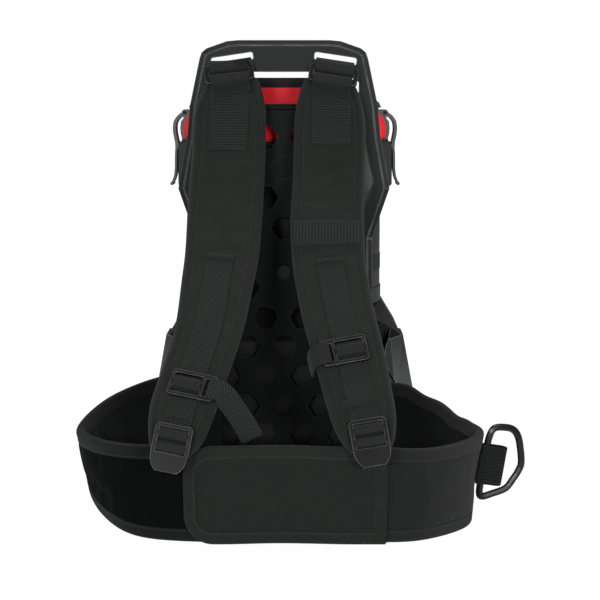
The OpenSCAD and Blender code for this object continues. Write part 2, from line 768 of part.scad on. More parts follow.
module intake_grille() {
    color("#0f1111") translate([0, grille_y, dome_top - wall]) {
        difference() {
            cylinder(r = grille_r - fit_gap, h = wall + 0.6);
            translate([0, 0, -1]) cylinder(r = grille_r - 5, h = wall + 3);
        }
        // rings and spokes in one flat piece
        linear_extrude(wall - 0.6) {
            circle(10);
            for (r = [17 : 9 : grille_r - 8]) difference() {
                circle(r + 2);
                circle(r - 2);
            }
            for (a = [0 : 60 : 300]) rotate(a) translate([5, -1.5]) square([grille_r - 9, 3]);
        }
    }
}

handle_top = dome_top + handle_rise;
handle_split = handle_top - 10;

// bridge over the well: a bar between two feet that stand in the tub
module carry_handle() {
    bar_z = handle_split - 17;
    color("#d8222f") {
        depth(handle_y - handle_d / 2, handle_y + handle_d / 2) {
            translate([0, bar_z + 8.5]) square([2 * well_x - 0.4, 17], center = true);
            for (x = [-1, 1]) translate([x * (well_x - 5.2), (bar_z + ring_z + 15 + 1) / 2])
                square([10, bar_z - ring_z - 15 + 1], center = true);
        }
    }
}

module handle_grip() {
    color("#101111") hull() for (z = [0, 7]) translate([0, handle_y, handle_split + z]) linear_extrude(z ? 3 : 5)
        rounded_rect(2 * well_x - 0.4 - z, handle_d - z / 2, 6);
}

// paths of a latch in the x-z plane: the bow from hinge to toe, and the thin tail with its finger tab
bow_path = [[hinge_x + 0.6, hinge_z + 0.4], [hinge_x + 6, hinge_z - 3.4], [hinge_x + 10.4, hinge_z - 9],
    [hinge_x + 11.6, hinge_z - 16.5], [hinge_x + 10.8, hinge_z - 24], [hinge_x + 9.4, hinge_z - 31],
    [toe_x + 4.6, latch_toe_z]];
tail_path = [[toe_x + 4.9, latch_toe_z + 1], [collar_r + 1.7, latch_toe_z - 8], [collar_r + 1.9, latch_toe_z - 22],
    [collar_r + 3.2, latch_toe_z - 32], [collar_r + 6.2, latch_toe_z - 39]];

module latch() {
    difference() {
        union() {
            depth(-latch_width / 2, latch_width / 2)
                polygon(strip_outline([for (s = [0 : 0.5 : len(bow_path) - 1]) curve_at(bow_path, s)], latch_t));
            depth(-latch_width / 2, latch_width / 2)
                polygon(strip_outline([for (s = [0 : 0.5 : len(tail_path) - 1]) curve_at(tail_path, s)], 2.4));
            // eye around the hinge pin
            translate([hinge_x, 0, hinge_z]) rotate([90, 0, 0]) cylinder(r = 3.4, h = latch_width, center = true, $fn = 32);
            // toe that stands in the collar's pocket
            translate([toe_x, -latch_width / 2, latch_toe_z - 2]) cube([6, latch_width, 5]);
            // finger bead at the tab's end
            translate([collar_r + 6.2, 0, latch_toe_z - 39]) rotate([90, 0, 0])
                cylinder(r = 1.9, h = latch_width, center = true, $fn = 24);
        }
        translate([hinge_x, 0, hinge_z]) rotate([90, 0, 0])
            cylinder(r = pin_r + fit_gap, h = latch_width + 2, center = true, $fn = 32);
    }
}

module latch_right() {
    color("#141515") latch();
}

module latch_left() {
    color("#141515") mirror([1, 0, 0]) latch();
}

module latch_pins() {
    color("silver") both_sides() translate([hinge_x, 0, hinge_z]) rotate([90, 0, 0])
        cylinder(r = pin_r, h = latch_width + 6, center = true, $fn = 32);
}

// ---------------------------------------------------------------- harness frame

window_top = frame_h - 31;          // top edge of the window over the panel
panel_top = frame_h - 63;
panel_bottom = 70;
frame_bottom = 56;
slot_x = 51;                        // middle of each webbing slot
slot_z = frame_h - 18.2;
slot_tilt = 8.5;
bolt_z = 273.5;
base_screw_x = 78.8;
base_screw_z = [62, 86];
bar_bottom = panel_bottom;

// right half of the frame's outline as [x, z], top to bottom
frame_side = [[45, frame_h], [56, frame_h - 1], [corner_x - 4, frame_h - 8], [corner_x + 1, frame_h - 12],
    [corner_x + 3.1, frame_h - 18], [corner_x + 13, frame_h - 64], [corner_x + 16.4, frame_h - 98],
    [elbow_x + 5.2, frame_h - 146], [elbow_x - 12, frame_h - 196], [elbow_x - 11.5, frame_h - 247],
    [elbow_x - 11.5, frame_bottom]];
frame_outline = concat(frame_side, [for (i = [len(frame_side) - 1 : -1 : 0]) [-frame_side[i][0], frame_side[i][1]]]);

// cuts the face back along the frame's edge and leaves a bevelled flange round it
module frame_bevel() {
    bevel = 4.5;
    n = len(frame_outline);
    for (i = [0 : n - 1]) {
        a = frame_outline[i];
        b = frame_outline[(i + 1) % n];
        ahead = unit(b - a);
        // reach past each end: far at an outer corner, up to the mitre at an inner one
        reach = [for (d = [unit(a - frame_outline[(i + n - 1) % n]), -unit(frame_outline[(i + 2) % n] - b)])
            let (turn = cross(d, ahead), bend = asin(min(1, abs(turn))))
                turn < 0 ? 6 : (bevel + 1.2) * tan(bend / 2)];
        if (a[1] > frame_bottom || b[1] > frame_bottom)
            translate([a[0], face_y, a[1]]) rotate([0, -atan2(ahead[1], ahead[0]), 0])
                translate([(norm(b - a) + reach[1] - reach[0]) / 2, 0, 0]) across(norm(b - a) + reach[0] + reach[1])
                    polygon([[-1, -bevel - 1.2], [0, -bevel - 1.2], [1.2, -bevel], [3, -bevel], [3 + bevel, 0],
                        [6 + bevel, 3], [6 + bevel, 8], [-1, 8]]);
    }
}

// opening over the panel, with the pointed windows that flank it
module frame_opening() {
    edge = panel_w + seat_gap;
    polygon([[-edge + 14, window_top], [edge - 14, window_top], [edge, window_top - 10], [edge, frame_h - 75],
        [elbow_x - 11, frame_h - 140], [edge, frame_h - 178], [edge, bar_bottom - seat_gap],
        [-edge, bar_bottom - seat_gap], [-edge, frame_h - 178], [11 - elbow_x, frame_h - 140],
        [-edge, frame_h - 75], [-edge, window_top - 10]]);
}

module slot_shape() {
    translate([slot_x, slot_z]) rotate(-slot_tilt) {
        rounded_rect(slot_l, slot_h, 2.4);
    }
}

module back_frame() {
    color("#2a2e2e") difference() {
        depth(face_y, face_y + frame_t) polygon(frame_outline);
        frame_bevel();
        depth(face_y - 10, face_y + 30) frame_opening();
        both_sides() depth(face_y - 10, face_y + 30) slot_shape();
        for (x = [-1, 1], z = base_screw_z) translate([x * base_screw_x, face_y - 5, z]) rotate([-90, 0, 0]) {
            cylinder(r = 2.5 + fit_gap, h = 40, $fn = 24);
            cylinder(r = 3.6 + seat_gap, h = 8, $fn = 32);
        }
    }
}

panel_y = face_y + 2;
column_pitch = hex_w * 0.725;
row_pitch = 30;
first_row = frame_h - 94.8;
rows = floor((first_row - panel_bottom - hex_w * 0.5) / row_pitch);

// vent holes: rows in turn on the odd and the even columns, the middle bolt's row left whole
module hex_field() {
    for (r = [0 : rows], c = [-3 : 3]) {
        z = first_row - r * row_pitch;
        blind = (r == 1 && c == 0);
        if (abs(c) % 2 == (r + 1) % 2 && !blind && norm([c * column_pitch, z - bolt_z]) > hex_w / 2 + 13)
            translate([c * column_pitch, z]) circle(d = hex_w, $fn = 6);
    }
}

module hex_panel() {
    color("#151818") difference() {
        union() {
            depth(panel_y, panel_y + panel_t) polygon([[-panel_w, panel_bottom], [panel_w, panel_bottom],
                [panel_w, panel_top - 6], [panel_w - 6, panel_top], [6 - panel_w, panel_top], [-panel_w, panel_top - 6]]);
            // rolled rim along the top
            translate([0, panel_y + 1.6, panel_top - 3]) rotate([0, 90, 0])
                cylinder(r = 3.6, h = 2 * panel_w - 14, center = true, $fn = 24);
            // stiffening ribs on the hidden side
            for (x = [-1, 1]) translate([x * (panel_w - 2.4) - 1.2, panel_y, panel_bottom + 2])
                cube([2.4, panel_t + 4, panel_top - panel_bottom - 12]);
            // boss of the middle bolt
            translate([0, panel_y - 1.5, bolt_z]) rotate([-90, 0, 0]) cylinder(d = 19, h = panel_t + 1.5, $fn = 6);
        }
        depth(panel_y - 20, panel_y + 20) hex_field();
        // blind recess in the second row
        depth(panel_y - 20, panel_y + 1.2) translate([0, first_row - row_pitch]) circle(d = hex_w, $fn = 6);
        translate([0, panel_y - 10, bolt_z]) rotate([-90, 0, 0]) cylinder(r = 3 + fit_gap, h = 40, $fn = 32);
        for (x = [-1, 1]) translate([x * saddle_screw_x, panel_y - 10, saddle_z]) rotate([-90, 0, 0])
            cylinder(r = 2.5 + fit_gap, h = 40, $fn = 24);
    }
}

saddle_z = first_row - row_pitch;
saddle_h = 26;
saddle_w = 132;
saddle_screw_x = 3 * column_pitch;

// saddle that seats the canister's collar on the frame, and the spacer of the middle bolt
module frame_saddle() {
    back = panel_y + panel_t;
    color("#1e2020") {
        difference() {
            translate([-saddle_w / 2, back, saddle_z - saddle_h / 2]) cube([saddle_w, 40, saddle_h]);
            translate([0, 0, saddle_z - 40]) cylinder(r = collar_r, h = 80, $fn = 96);
            for (x = [-1, 1]) translate([x * saddle_screw_x, back - 1, saddle_z]) rotate([-90, 0, 0])
                cylinder(r = 2.5 + fit_gap, h = 60, $fn = 24);
            for (x = [-1, 1]) translate([x * 38, back - 1, saddle_z]) rotate([-90, 0, 0])
                cylinder(r = 7, h = 60, $fn = 24);
        }
        difference() {
            translate([0, back, bolt_z]) rotate([-90, 0, 0]) cylinder(r = 9, h = 60, $fn = 32);
            translate([0, 0, bolt_z - 30]) cylinder(r = canister_r + (bolt_z < band_z + band_h ? 0.5 : 0), h = 60, $fn = 96);
            translate([0, back - 1, bolt_z]) rotate([-90, 0, 0]) cylinder(r = 3 + fit_gap, h = 80, $fn = 32);
        }
    }
}

module frame_screws() {
    color("#6b6e70") {
        translate([0, panel_y - 5.5, bolt_z]) screw(6.5, 4, 3, -canister_r + 4 - (panel_y - 5.5));
        for (x = [-1, 1]) translate([x * saddle_screw_x, panel_y - 2.6, saddle_z]) screw(5, 2.6, 2.5, 18);
        for (x = [-1, 1], z = base_screw_z) translate([x * base_screw_x, face_y + 0.4, z]) screw(3.6, 2.6, 2.5, 22);
    }
}

// ---------------------------------------------------------------- shoulder straps

// middle line of a shoulder pad: x, distance in front of the frame's face, height; and its width
strap_left = [[-51, 8, 463], [-51.2, 15, 448], [-52, 22, 428], [-53, 37, 388], [-55, 58, 349], [-57, 88, 303],
    [-61, 112, 273], [-66, 138, 241], [-73, 158, 216], [-80, 173, 196], [-87, 192, 175], [-92, 205, 156],
    [-96, 211, 142], [-98, 214, 130]];
width_left = [50, 62, 70, 71, 72, 70, 67, 63, 60, 59, 59, 53, 42, 24];
strap_right = [[46, 8, 461], [45.5, 15, 446], [45, 23, 421], [44, 44, 372], [42, 68, 332], [43, 93, 296],
    [47, 114, 269], [51, 131, 249], [57, 150, 227], [62, 165, 208], [68, 185, 183], [73, 200, 163],
    [77, 209, 146], [79, 213, 133]];
width_right = [50, 61, 69, 69, 70, 69, 68, 67, 66, 64, 61, 57, 46, 28];
strap_shift = frame_h - 502;        // the pads hang from the frame's top

function to_world(q) = [q[0], face_y - q[1], q[2] + strap_shift];
function strap_path(side) = [for (q = side < 0 ? strap_left : strap_right) to_world(q)];
function strap_width(side) = side < 0 ? width_left : width_right;

// half thickness of a pad at s: flattened at both ends
function pad_half(s) = let (last = len(strap_left) - 1)
    pad_t / 2 * min(1, 0.45 + 0.55 * s / 1.5, 0.6 + 0.4 * (last - s) / 0.5);

// at a half step of s along a pad: point on its middle line, direction across, direction out, half thickness;
// the upper end is turned to the slope of the webbing slot
function strap_station(side, s) =
    let (p = strap_path(side), dir = heading(p, s), level = unit([1, 0, 0] - dir * dir[0]),
         turn = slot_tilt * max(0, min(1, 1.15 - s / 2.5)), lat = level * cos(turn) + dir * side * sin(turn))
    [curve_at(p, s), lat, unit(cross(dir, lat)), pad_half(s)];

// the same at any s, on the straight facet between two half steps
function strap_frame(side, s) =
    let (a = floor(2 * s) / 2, b = a + 0.5, last = len(strap_left) - 1,
         fa = strap_station(side, a), fb = strap_station(side, min(last, b)), t = 2 * (s - a))
    t < 0.001 ? fa : [for (i = [0 : 3]) fa[i] * (1 - t) + fb[i] * t];

// the half steps between s0 and s1, with both ends
function half_steps(s0, s1) = concat([s0], [for (k = [floor(2 * s0) + 1 : ceil(2 * s1) - 1]) k / 2], [s1]);

// strip along a pad from s0 to s1; u0 and u1 are across the pad, h0 and h1 out of its front face
module strap_strip(side, s0, s1, u0, u1, h0, h1, r) {
    loft([for (s = half_steps(s0, s1))
        let (f = strap_frame(side, s))
        [for (q = strip_section(u0, u1, h0, h1, r)) f[0] + f[1] * q[0] + f[2] * (q[1] + f[3])]]);
}

// padded strap: its edges are thinner than its crown
module shoulder_pad(side) {
    last = len(strap_left) - 1;
    loft([for (i = [0 : 2 * last])
        let (s = i / 2, f = strap_station(side, s), w = curve_at(strap_width(side), s) / 2, t = f[3])
        [for (q = [[-w + 9, -t], [w - 9, -t], [w - 3, -t * 0.8], [w, 0], [w - 3, t * 0.8], [w - 9, t],
                   [9 - w, t], [3 - w, t * 0.8], [-w, 0], [3 - w, -t * 0.8]])
            f[0] + f[1] * q[0] + f[2] * q[1]]]);
}

module shoulder_pad_left() {
    color("#252826") shoulder_pad(-1);
}

module shoulder_pad_right() {
    color("#252826") shoulder_pad(1);
}

// local frame on a pad's front face, u off its middle: origin, across, into the pad, up along it
function strap_axes(side, s, u) =
    let (f = strap_frame(side, s), a = strap_frame(side, max(0, s - 0.3)),
         b = strap_frame(side, min(len(strap_left) - 1, s + 0.3)),
         lat = f[1], along = a[0] + a[2] * a[3] - b[0] - b[2] * b[3], up = unit(along - lat * (along * lat)))
    [f[0] + lat * u + f[2] * f[3], lat, cross(up, lat), up];

module on_strap(side, s, u) {
    a = strap_axes(side, s, u);
    multmatrix([[a[1][0], a[2][0], a[3][0], a[0][0]], [a[1][1], a[2][1], a[3][1], a[0][1]],
        [a[1][2], a[2][2], a[3][2], a[0][2]], [0, 0, 0, 1]]) children();
}

lead = soft_gap + web_t / 2;        // middle of a webbing that lies on a face
buckle_y = -(2 * soft_gap + web_t); // back of a buckle that lies on webbing on a pad
lock_front = buckle_y - buckle_t - lead;    // middle of a webbing that lies over a buckle
roll_y = buckle_y - soft_gap - web_t;       // back of a buckle whose bars are wrapped in webbing
glide_s = 0.35;                     // where the slide buckle lies along a pad
glide_up = 8.5;                     // middle of the slide buckle above that point
glide_h = 21;
glide_bar = 7;                      // height of its two bars, and of the window between them
glide_x = [-0.7, 1.2];              // sideways offset, left and right

// middle of the sewn loop round the slide buckle's lower bar, as [y, z] on the pad's face above the bar's lower edge
loop_path = [[-lead, -12], [-lead, glide_bar + 0.6], [-lead - 0.8, glide_bar + 1.5],
    [lock_front + 0.9, glide_bar + 1.5], [lock_front, glide_bar + 0.5], [lock_front, -0.4],
    [lock_front + 0.9, -1.5], [-lead - web_t - soft_gap - 0.6, -2.2], [-lead - web_t - soft_gap, -12]];

// the webbing over the upper bar, from its end behind that bar, as [y, z] below the bar's upper edge
bar_path = [[-lead, 1], [-lead, -glide_bar - 0.6], [-lead - 0.8, -glide_bar - 1.5],
    [lock_front + 0.9, -glide_bar - 1.5], [lock_front, -glide_bar - 0.5], [lock_front - 0.8, 1.6],
    [lock_front + 1, 4]];

// and on through the slot and round the strip below it, as [y, z] about the slot's middle
slot_front = face_y - lead;
slot_back = face_y + frame_t + lead;
strip_under = window_top - slot_z + 0.3 - lead - slot_l * 0.08;
slot_low = lead - slot_h / 2;
slot_path = [[slot_front - 3, slot_low], [face_y - 0.3, slot_low + 1.1],
    [slot_front + 4, slot_low + 0.3], [slot_back - 0.8, slot_low],
    [slot_back, slot_low - 0.8],
    [slot_back, strip_under + 1.2], [slot_back - 1.2, strip_under], [slot_front + 1, strip_under]];

module top_webbing(side) {
    dx = glide_x[side < 0 ? 0 : 1];
    a = strap_axes(side, glide_s, dx);
    foot = a[0] + a[3] * (glide_up - glide_h / 2);
    head = a[0] + a[3] * (glide_up + glide_h / 2);
    loop = [for (q = loop_path) foot + a[2] * q[0] + a[3] * q[1]];
    ribbon(loop, [for (q = loop) a[1]], top_web_w, web_t);
    low = [for (q = bar_path) head + a[2] * q[0] + a[3] * q[1]];
    high = [for (q = slot_path) [side * (slot_x + sin(slot_tilt) * q[1]), q[0], slot_z + cos(slot_tilt) * q[1]]];
    ribbon(concat(low, high), concat([for (q = low) a[1]], [for (q = high) [cos(slot_tilt), 0, -side * sin(slot_tilt)]]),
        top_web_w, web_t);
    strap_strip(side, 0.75, side < 0 ? 2.9 : 2.5, dx - top_web_w / 2, dx + top_web_w / 2, soft_gap, soft_gap + web_t,
        web_t / 4);
}

module top_webbing_left() {
    color("#1d1f1e") top_webbing(-1);
}

module top_webbing_right() {
    color("#1d1f1e") top_webbing(1);
}

// slide buckle: a frame with two broad bars, drawn in the x-z plane about its middle
module slide_buckle(w, h) {
    depth(-buckle_t, 0) difference() {
        rounded_rect(w + 10, h, 5);
        rounded_rect(w + 1, h - 2 * glide_bar, 1);
    }
}

module slide_buckles() {
    color("#0e0f0f") for (side = [-1, 1]) on_strap(side, glide_s, glide_x[side < 0 ? 0 : 1])
        translate([0, buckle_y, glide_up]) slide_buckle(top_web_w, glide_h);
}

// where the hardware sits along each pad: place, sideways offset and turn
lock_s = 12.15;
chest_s = [9.55, 8.75];

lock_bars = [11, 0];                // heights of the ladder lock's two wrapped bars, and their own height
lock_bar_h = 4.4;
chest_bar_h = 7;
chest_h = 26;                       // height of the chest buckle's frame

// webbing sewn round a buckle's bar whose middle is at height z
module bar_roll(z, h) {
    across(low_web_w) translate([roll_y - buckle_t / 2, z]) difference() {
        rounded_rect(buckle_t + 2 * (soft_gap + web_t), h + 2 * (soft_gap + web_t), 2.6);
        rounded_rect(buckle_t + 2 * soft_gap, h + 2 * soft_gap, 0.6);
    }
}

// 25 mm webbing down the pad, sewn round the ladder lock's upper bar and the chest buckle's bar
module strap_webbing(side) {
    start = side < 0 ? 5.25 : 5.15;
    strap_strip(side, start, lock_s - 0.5, -low_web_w / 2, low_web_w / 2, soft_gap + 0.2,
        soft_gap + web_t, web_t / 4);
    on_strap(side, lock_s, 0) bar_roll(lock_bars[0], lock_bar_h);
    on_strap(side, chest_s[side < 0 ? 0 : 1], 0) bar_roll(0, chest_bar_h);
}

module strap_webbing_left() {
    color("#1f2120") strap_webbing(-1);
}

module strap_webbing_right() {
    color("#1f2120") strap_webbing(1);
}

// ladder lock: side bars, two wrapped bars between three windows and a rounded thumb tab
module ladder_lock() {
    window_w = low_web_w + 1;
    edges = [lock_bars[0] + 5.6, lock_bars[0] + lock_bar_h / 2, lock_bars[0] - lock_bar_h / 2,
        lock_bars[1] + lock_bar_h / 2, lock_bars[1] - lock_bar_h / 2, lock_bars[1] - 5.6];
    depth(-buckle_t, 0) difference() {
        union() {
            translate([0, 5]) rounded_rect(window_w + 7, 30, 4);
            translate([0, -9]) circle((window_w + 7) / 2 - 0.5, $fn = 48);
        }
        for (i = [0, 2, 4]) translate([-window_w / 2, edges[i + 1]]) square([window_w, edges[i] - edges[i + 1]]);
        translate([-30, -34]) square([60, 12]);
    }
}

module ladder_locks() {
    color("#0e0f0f") for (side = [-1, 1]) on_strap(side, lock_s, 0) translate([0, roll_y, 0]) ladder_lock();
}

// chest-strap adjuster: a square frame round one wrapped bar, and two prongs towards the wearer's middle
module chest_buckle(inward) {
    frame_w = low_web_w + 6;
    depth(-buckle_t, 0) {
        difference() {
            rounded_rect(frame_w, chest_h, 3);
            for (z = [chest_bar_h / 2, 3 - chest_h / 2])
                translate([-low_web_w / 2 - 0.5, z]) square([low_web_w + 1, (chest_h - chest_bar_h) / 2 - 3]);
        }
        for (z = [-1, 1]) translate([inward * (frame_w / 2 + 4), z * (chest_h / 2 - 2)]) rounded_rect(12, 4, 1.9);
    }
}

module chest_buckles() {
    color("#0e0f0f") for (side = [-1, 1]) on_strap(side, chest_s[side < 0 ? 0 : 1], 0)
        translate([0, roll_y, 0]) chest_buckle(-side);
}

// webbing of the chest strap, from a loop round the prongs to a free tail
module chest_webbing() {
    color("#222423") {
        left = strap_axes(-1, chest_s[0], low_web_w / 2 + 13);
        start = left[0] + left[2] * (roll_y - buckle_t - lead);
        ribbon([start - left[1] * 6, start, start + left[1] * 7 + left[2] * 2, start + [15, 3, -12],
                start + [27, 6, -26], start + [35, 8, -40]],
            [left[3], left[3], left[3], [0.45, -0.2, 1], [0.6, -0.2, 1], [0.7, -0.2, 1]], 21, web_t);
        right = strap_axes(1, chest_s[1], -low_web_w / 2 - 12);
        hold = right[0] + right[2] * (roll_y - buckle_t - lead);
        ribbon([hold + right[1] * 6, hold, hold - right[1] * 6 + right[2] * 2, hold - right[1] * 11 + right[2] * 9,
                hold - right[1] * 12 + right[2] * 22],
            [for (i = [0 : 4]) right[3]], 21, web_t);
    }
}

// elastic keeper across the right pad
module strap_keeper() {
    color("#1b1d1c") strap_strip(1, 4.15, 4.75, -32, 30, soft_gap, soft_gap + 1.6, 0.4);
}

// ---------------------------------------------------------------- hip belt

// top and bottom edge of the belt's outer face: x, distance in front of the frame's face, height
belt_top = [[-62, 9, 166], [-92, 11, 173], [-130, 25, 170], [-172, 55, 156], [-195, 95, 138], [-182, 140, 135],
    [-140, 175, 135], [-70, 196, 139], [0, 200, 141], [70, 197, 138], [130, 180, 132], [172, 145, 132],
    [190, 100, 133.5], [175, 60, 138], [135, 27, 158], [92, 11, 169], [62, 9, 164]];
belt_bottom = [[-62, 9, 60], [-90, 11, 60], [-125, 25, 64], [-162, 55, 72], [-184, 93, 78], [-169, 135, 61],
    [-134, 171, 50], [-70, 192, 50], [0, 196, 52], [70, 193, 50], [126, 176, 47], [171, 132, 47],
    [177, 98, 52], [166, 60, 56], [131, 27, 60], [90, 11, 60], [62, 9, 60]];

function belt_edge(list, s) = let (q = curve_at(list, s)) [q[0], face_y - q[1], q[2]];

// at s along the belt: bottom edge, direction up, direction out, height
function belt_frame(s) =
    let (a = belt_edge(belt_bottom, s), b = belt_edge(belt_top, s), up = unit(b - a),
         ahead = unit(belt_edge(belt_bottom, min(16, s + 0.05)) - belt_edge(belt_bottom, max(0, s - 0.05))),
         out = unit(cross(ahead, up)))
    [a, up, out, norm(b - a)];

// inset of a corner of radius r at the distance d from the strip's end
function corner_inset(d, r) = d >= r ? 0 : r - sqrt(r * r - (r - d) * (r - d));

// band of the belt over the stations s, between the heights h0 and h1 out of the belt's outer face;
// insets are measured from its edges
module belt_band(stations, h0, h1, r, inset) {
    loft([for (i = [0 : len(stations) - 1])
        let (f = belt_frame(stations[i]))
        [for (q = strip_section(inset[i], f[3] - inset[i], h0, h1, r)) f[0] + f[1] * q[0] + f[2] * q[1]]]);
}

function flat_inset(list, v) = [for (s = list) v];

flap_start = 6.76;          // left end of the flap
flap_end = 9.36;            // seam on the right wing
wing_left_end = 7.7;
corner_r = 26;

module belt_wing_left() {
    stations = [for (i = [0 : 24]) wing_left_end * i / 24];
    color("#101312") belt_band(stations, -wing_t, 0, 2, flat_inset(stations, 0));
}

module belt_wing_right() {
    stations = [for (i = [0 : 22]) 9.15 + (16 - 9.15) * i / 22];
    color("#242725") belt_band(stations, -wing_t, 0, 2, flat_inset(stations, 0));
}

// flap with rounded corners at its free end, closed over the left wing
module belt_flap() {
    pace = 70;              // length of one station on the front
    ends = [0, 1, 3, 6, 10, 15, 20, 26];
    stations = concat([for (d = ends) flap_start + d / pace], [for (i = [1 : 8]) 7.15 + (flap_end - 7.15) * i / 8]);
    inset = concat([for (d = ends) corner_inset(d, corner_r)], [for (i = [1 : 8]) 0]);
    color("#262927") belt_band(stations, soft_gap, soft_gap + flap_t, 1.2, inset);
}

module lumbar_pad() {
    color("#1b1d1c") depth(face_y - 8.5, face_y - soft_gap) translate([0, 76]) rounded_rect(2 * (62 - 1.5), 42, 12);
}

// webbing of each ladder lock's lower bar, and the tie between the pad's lower end and the belt's outer face
module anchor_webbing() {
    color("#1f2120") for (side = [-1, 1]) {
        on_strap(side, lock_s, 0) bar_roll(lock_bars[1], lock_bar_h);
        s = side < 0 ? 6.54 : 9.15;
        f = belt_frame(s);
        foot = f[0] + f[1] * (f[3] - 12) + f[2] * (lead + 1.2 + (side < 0 ? 0 : flap_t + soft_gap));
        last = len(strap_left) - 1;
        e = strap_frame(side, last);
        down = heading(strap_path(side), last);
        low = [for (q = [[9.2, -7], [6, 0.2], [3.4, 2.5], [-4.4, 2.6]]) e[0] + e[2] * q[0] + down * q[1]];
        ribbon(concat(low, [foot, foot - f[1] * 5]), [for (i = [0 : 5]) i < 4 ? e[1] : cross(f[1], f[2])],
            low_web_w - 4, web_t);
    }
}

// ---------------------------------------------------------------- tool ring

ring_s = 12.1;              // place along the belt
ring_mid = 49;              // height above the belt's lower edge
ring_post = 7;              // distance of the ring's upright bar from the belt
ring_web_reach = 27;
// ring outline about the middle of its webbing, as [out, up]
ring_plan = [[ring_post, -26], [ring_post, -10], [ring_post, 10], [ring_post, 25], [10.5, 35.4], [22, 37.7],
    [29.4, 36.3], [34.6, 31], [38.4, 22], [42.6, 6], [41, -3], [37.5, -11], [32, -21], [19.5, -28], [10, -32]];

// frame on the belt's outer face: x out of the belt, z up along it
module on_belt(s, height) {
    f = belt_frame(s);
    o = f[0] + f[1] * height;
    side = cross(f[1], f[2]);
    multmatrix([[f[2][0], side[0], f[1][0], o[0]], [f[2][1], side[1], f[1][1], o[1]],
        [f[2][2], side[2], f[1][2], o[2]], [0, 0, 0, 1]]) children();
}

// closed bar of radius r along the closed outline p, drawn in the x-z plane
module ring_bar(p, r) {
    n = len(p);
    steps = 4 * n;
    sides = 8;
    pts = [for (i = [0 : steps - 1])
        let (k = floor(i / 4), u = (i % 4) / 4, a = p[(k + n - 1) % n], b = p[k], c = p[(k + 1) % n], d = p[(k + 2) % n])
        0.5 * (2 * b + (c - a) * u + (2 * a - 5 * b + 4 * c - d) * u * u + (3 * b - a - 3 * c + d) * u * u * u)];
    ring = [for (i = [0 : steps - 1])
        let (dir = unit(pts[(i + 1) % steps] - pts[(i + steps - 1) % steps]), out = [dir[1], -dir[0]])
        for (j = [0 : sides - 1])
            [pts[i][0] + out[0] * r * cos(j * 360 / sides), r * sin(j * 360 / sides),
             pts[i][1] + out[1] * r * cos(j * 360 / sides)]];
    polyhedron(points = ring, faces = [for (i = [0 : steps - 1], j = [0 : sides - 1])
        let (i2 = (i + 1) % steps, j2 = (j + 1) % sides)
        each [[i * sides + j, i2 * sides + j, i2 * sides + j2], [i * sides + j, i2 * sides + j2, i * sides + j2]]]);
}

module tool_ring() {
    color("#131414") on_belt(ring_s, ring_mid) ring_bar(ring_plan, ring_bar_r);
}

// flattened loop of webbing that holds the ring's upright bar
module ring_webbing() {
    leg = ring_bar_r + soft_gap + web_t / 2;
    reach = ring_web_reach - web_t / 2;
    color("#1f2120") on_belt(ring_s, ring_mid) translate([0, 0, -top_web_w / 2]) linear_extrude(top_web_w)
        polygon(strip_outline([[0.5, -leg - 2], [3, -leg], [reach - 5, -leg], [reach - 1.4, -leg * 0.6], [reach, 0],
            [reach - 1.4, leg * 0.6], [reach - 5, leg], [3, leg], [0.5, leg + 2]], web_t));
}

// ---------------------------------------------------------------- all nodes

base_sole();
base_shell_back();
base_shell_front();
side_cover_left();
side_cover_right();
housing_screws();
vent_grilles();
volute();
volute_cover();
impeller();
motor_shaft();
motor_case();
motor_bearings();
motor_mount();
control_board();
outlet_collar();
outlet_elbow();
battery_dock();
battery_pack();
battery_button_left();
battery_button_right();
power_switch();
cable_gland();
canister();
canister_band();
filter_core();
filter_pleats();
filter_cap();
lid_seal();
lid_ring();
lid_dome();
intake_grille();
carry_handle();
handle_grip();
latch_left();
latch_right();
latch_pins();
back_frame();
hex_panel();
frame_saddle();
frame_screws();
shoulder_pad_left();
shoulder_pad_right();
top_webbing_left();
top_webbing_right();
slide_buckles();
strap_webbing_left();
strap_webbing_right();
ladder_locks();
anchor_webbing();
chest_buckles();
chest_webbing();
strap_keeper();
lumbar_pad();
belt_wing_left();
belt_wing_right();
belt_flap();
ring_webbing();
tool_ring();
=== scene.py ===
import bpy
import json
import math
import time
import numpy as np
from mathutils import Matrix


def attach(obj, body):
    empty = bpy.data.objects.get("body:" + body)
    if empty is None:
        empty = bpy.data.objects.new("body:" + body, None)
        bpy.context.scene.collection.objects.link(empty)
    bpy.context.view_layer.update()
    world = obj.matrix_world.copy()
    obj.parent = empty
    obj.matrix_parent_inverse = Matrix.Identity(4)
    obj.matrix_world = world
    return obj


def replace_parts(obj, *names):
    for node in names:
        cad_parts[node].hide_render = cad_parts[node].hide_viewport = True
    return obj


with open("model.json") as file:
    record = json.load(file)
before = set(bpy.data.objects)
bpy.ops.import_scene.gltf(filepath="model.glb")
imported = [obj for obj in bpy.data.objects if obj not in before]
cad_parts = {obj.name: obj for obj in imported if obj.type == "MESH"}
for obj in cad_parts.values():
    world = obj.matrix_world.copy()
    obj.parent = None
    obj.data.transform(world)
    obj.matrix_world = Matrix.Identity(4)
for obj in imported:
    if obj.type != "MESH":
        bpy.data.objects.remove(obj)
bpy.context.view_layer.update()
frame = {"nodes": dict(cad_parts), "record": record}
nodes = frame["nodes"]
mm = 0.001
sides = ((-1, "left"), (1, "right"))
scene = bpy.context.scene
print("frame loaded,", len(nodes), "nodes")

def newObject(name, data):
    thing = bpy.data.objects.new(name, data)
    scene.collection.objects.link(thing)
    return thing

# camera, lamps and floor

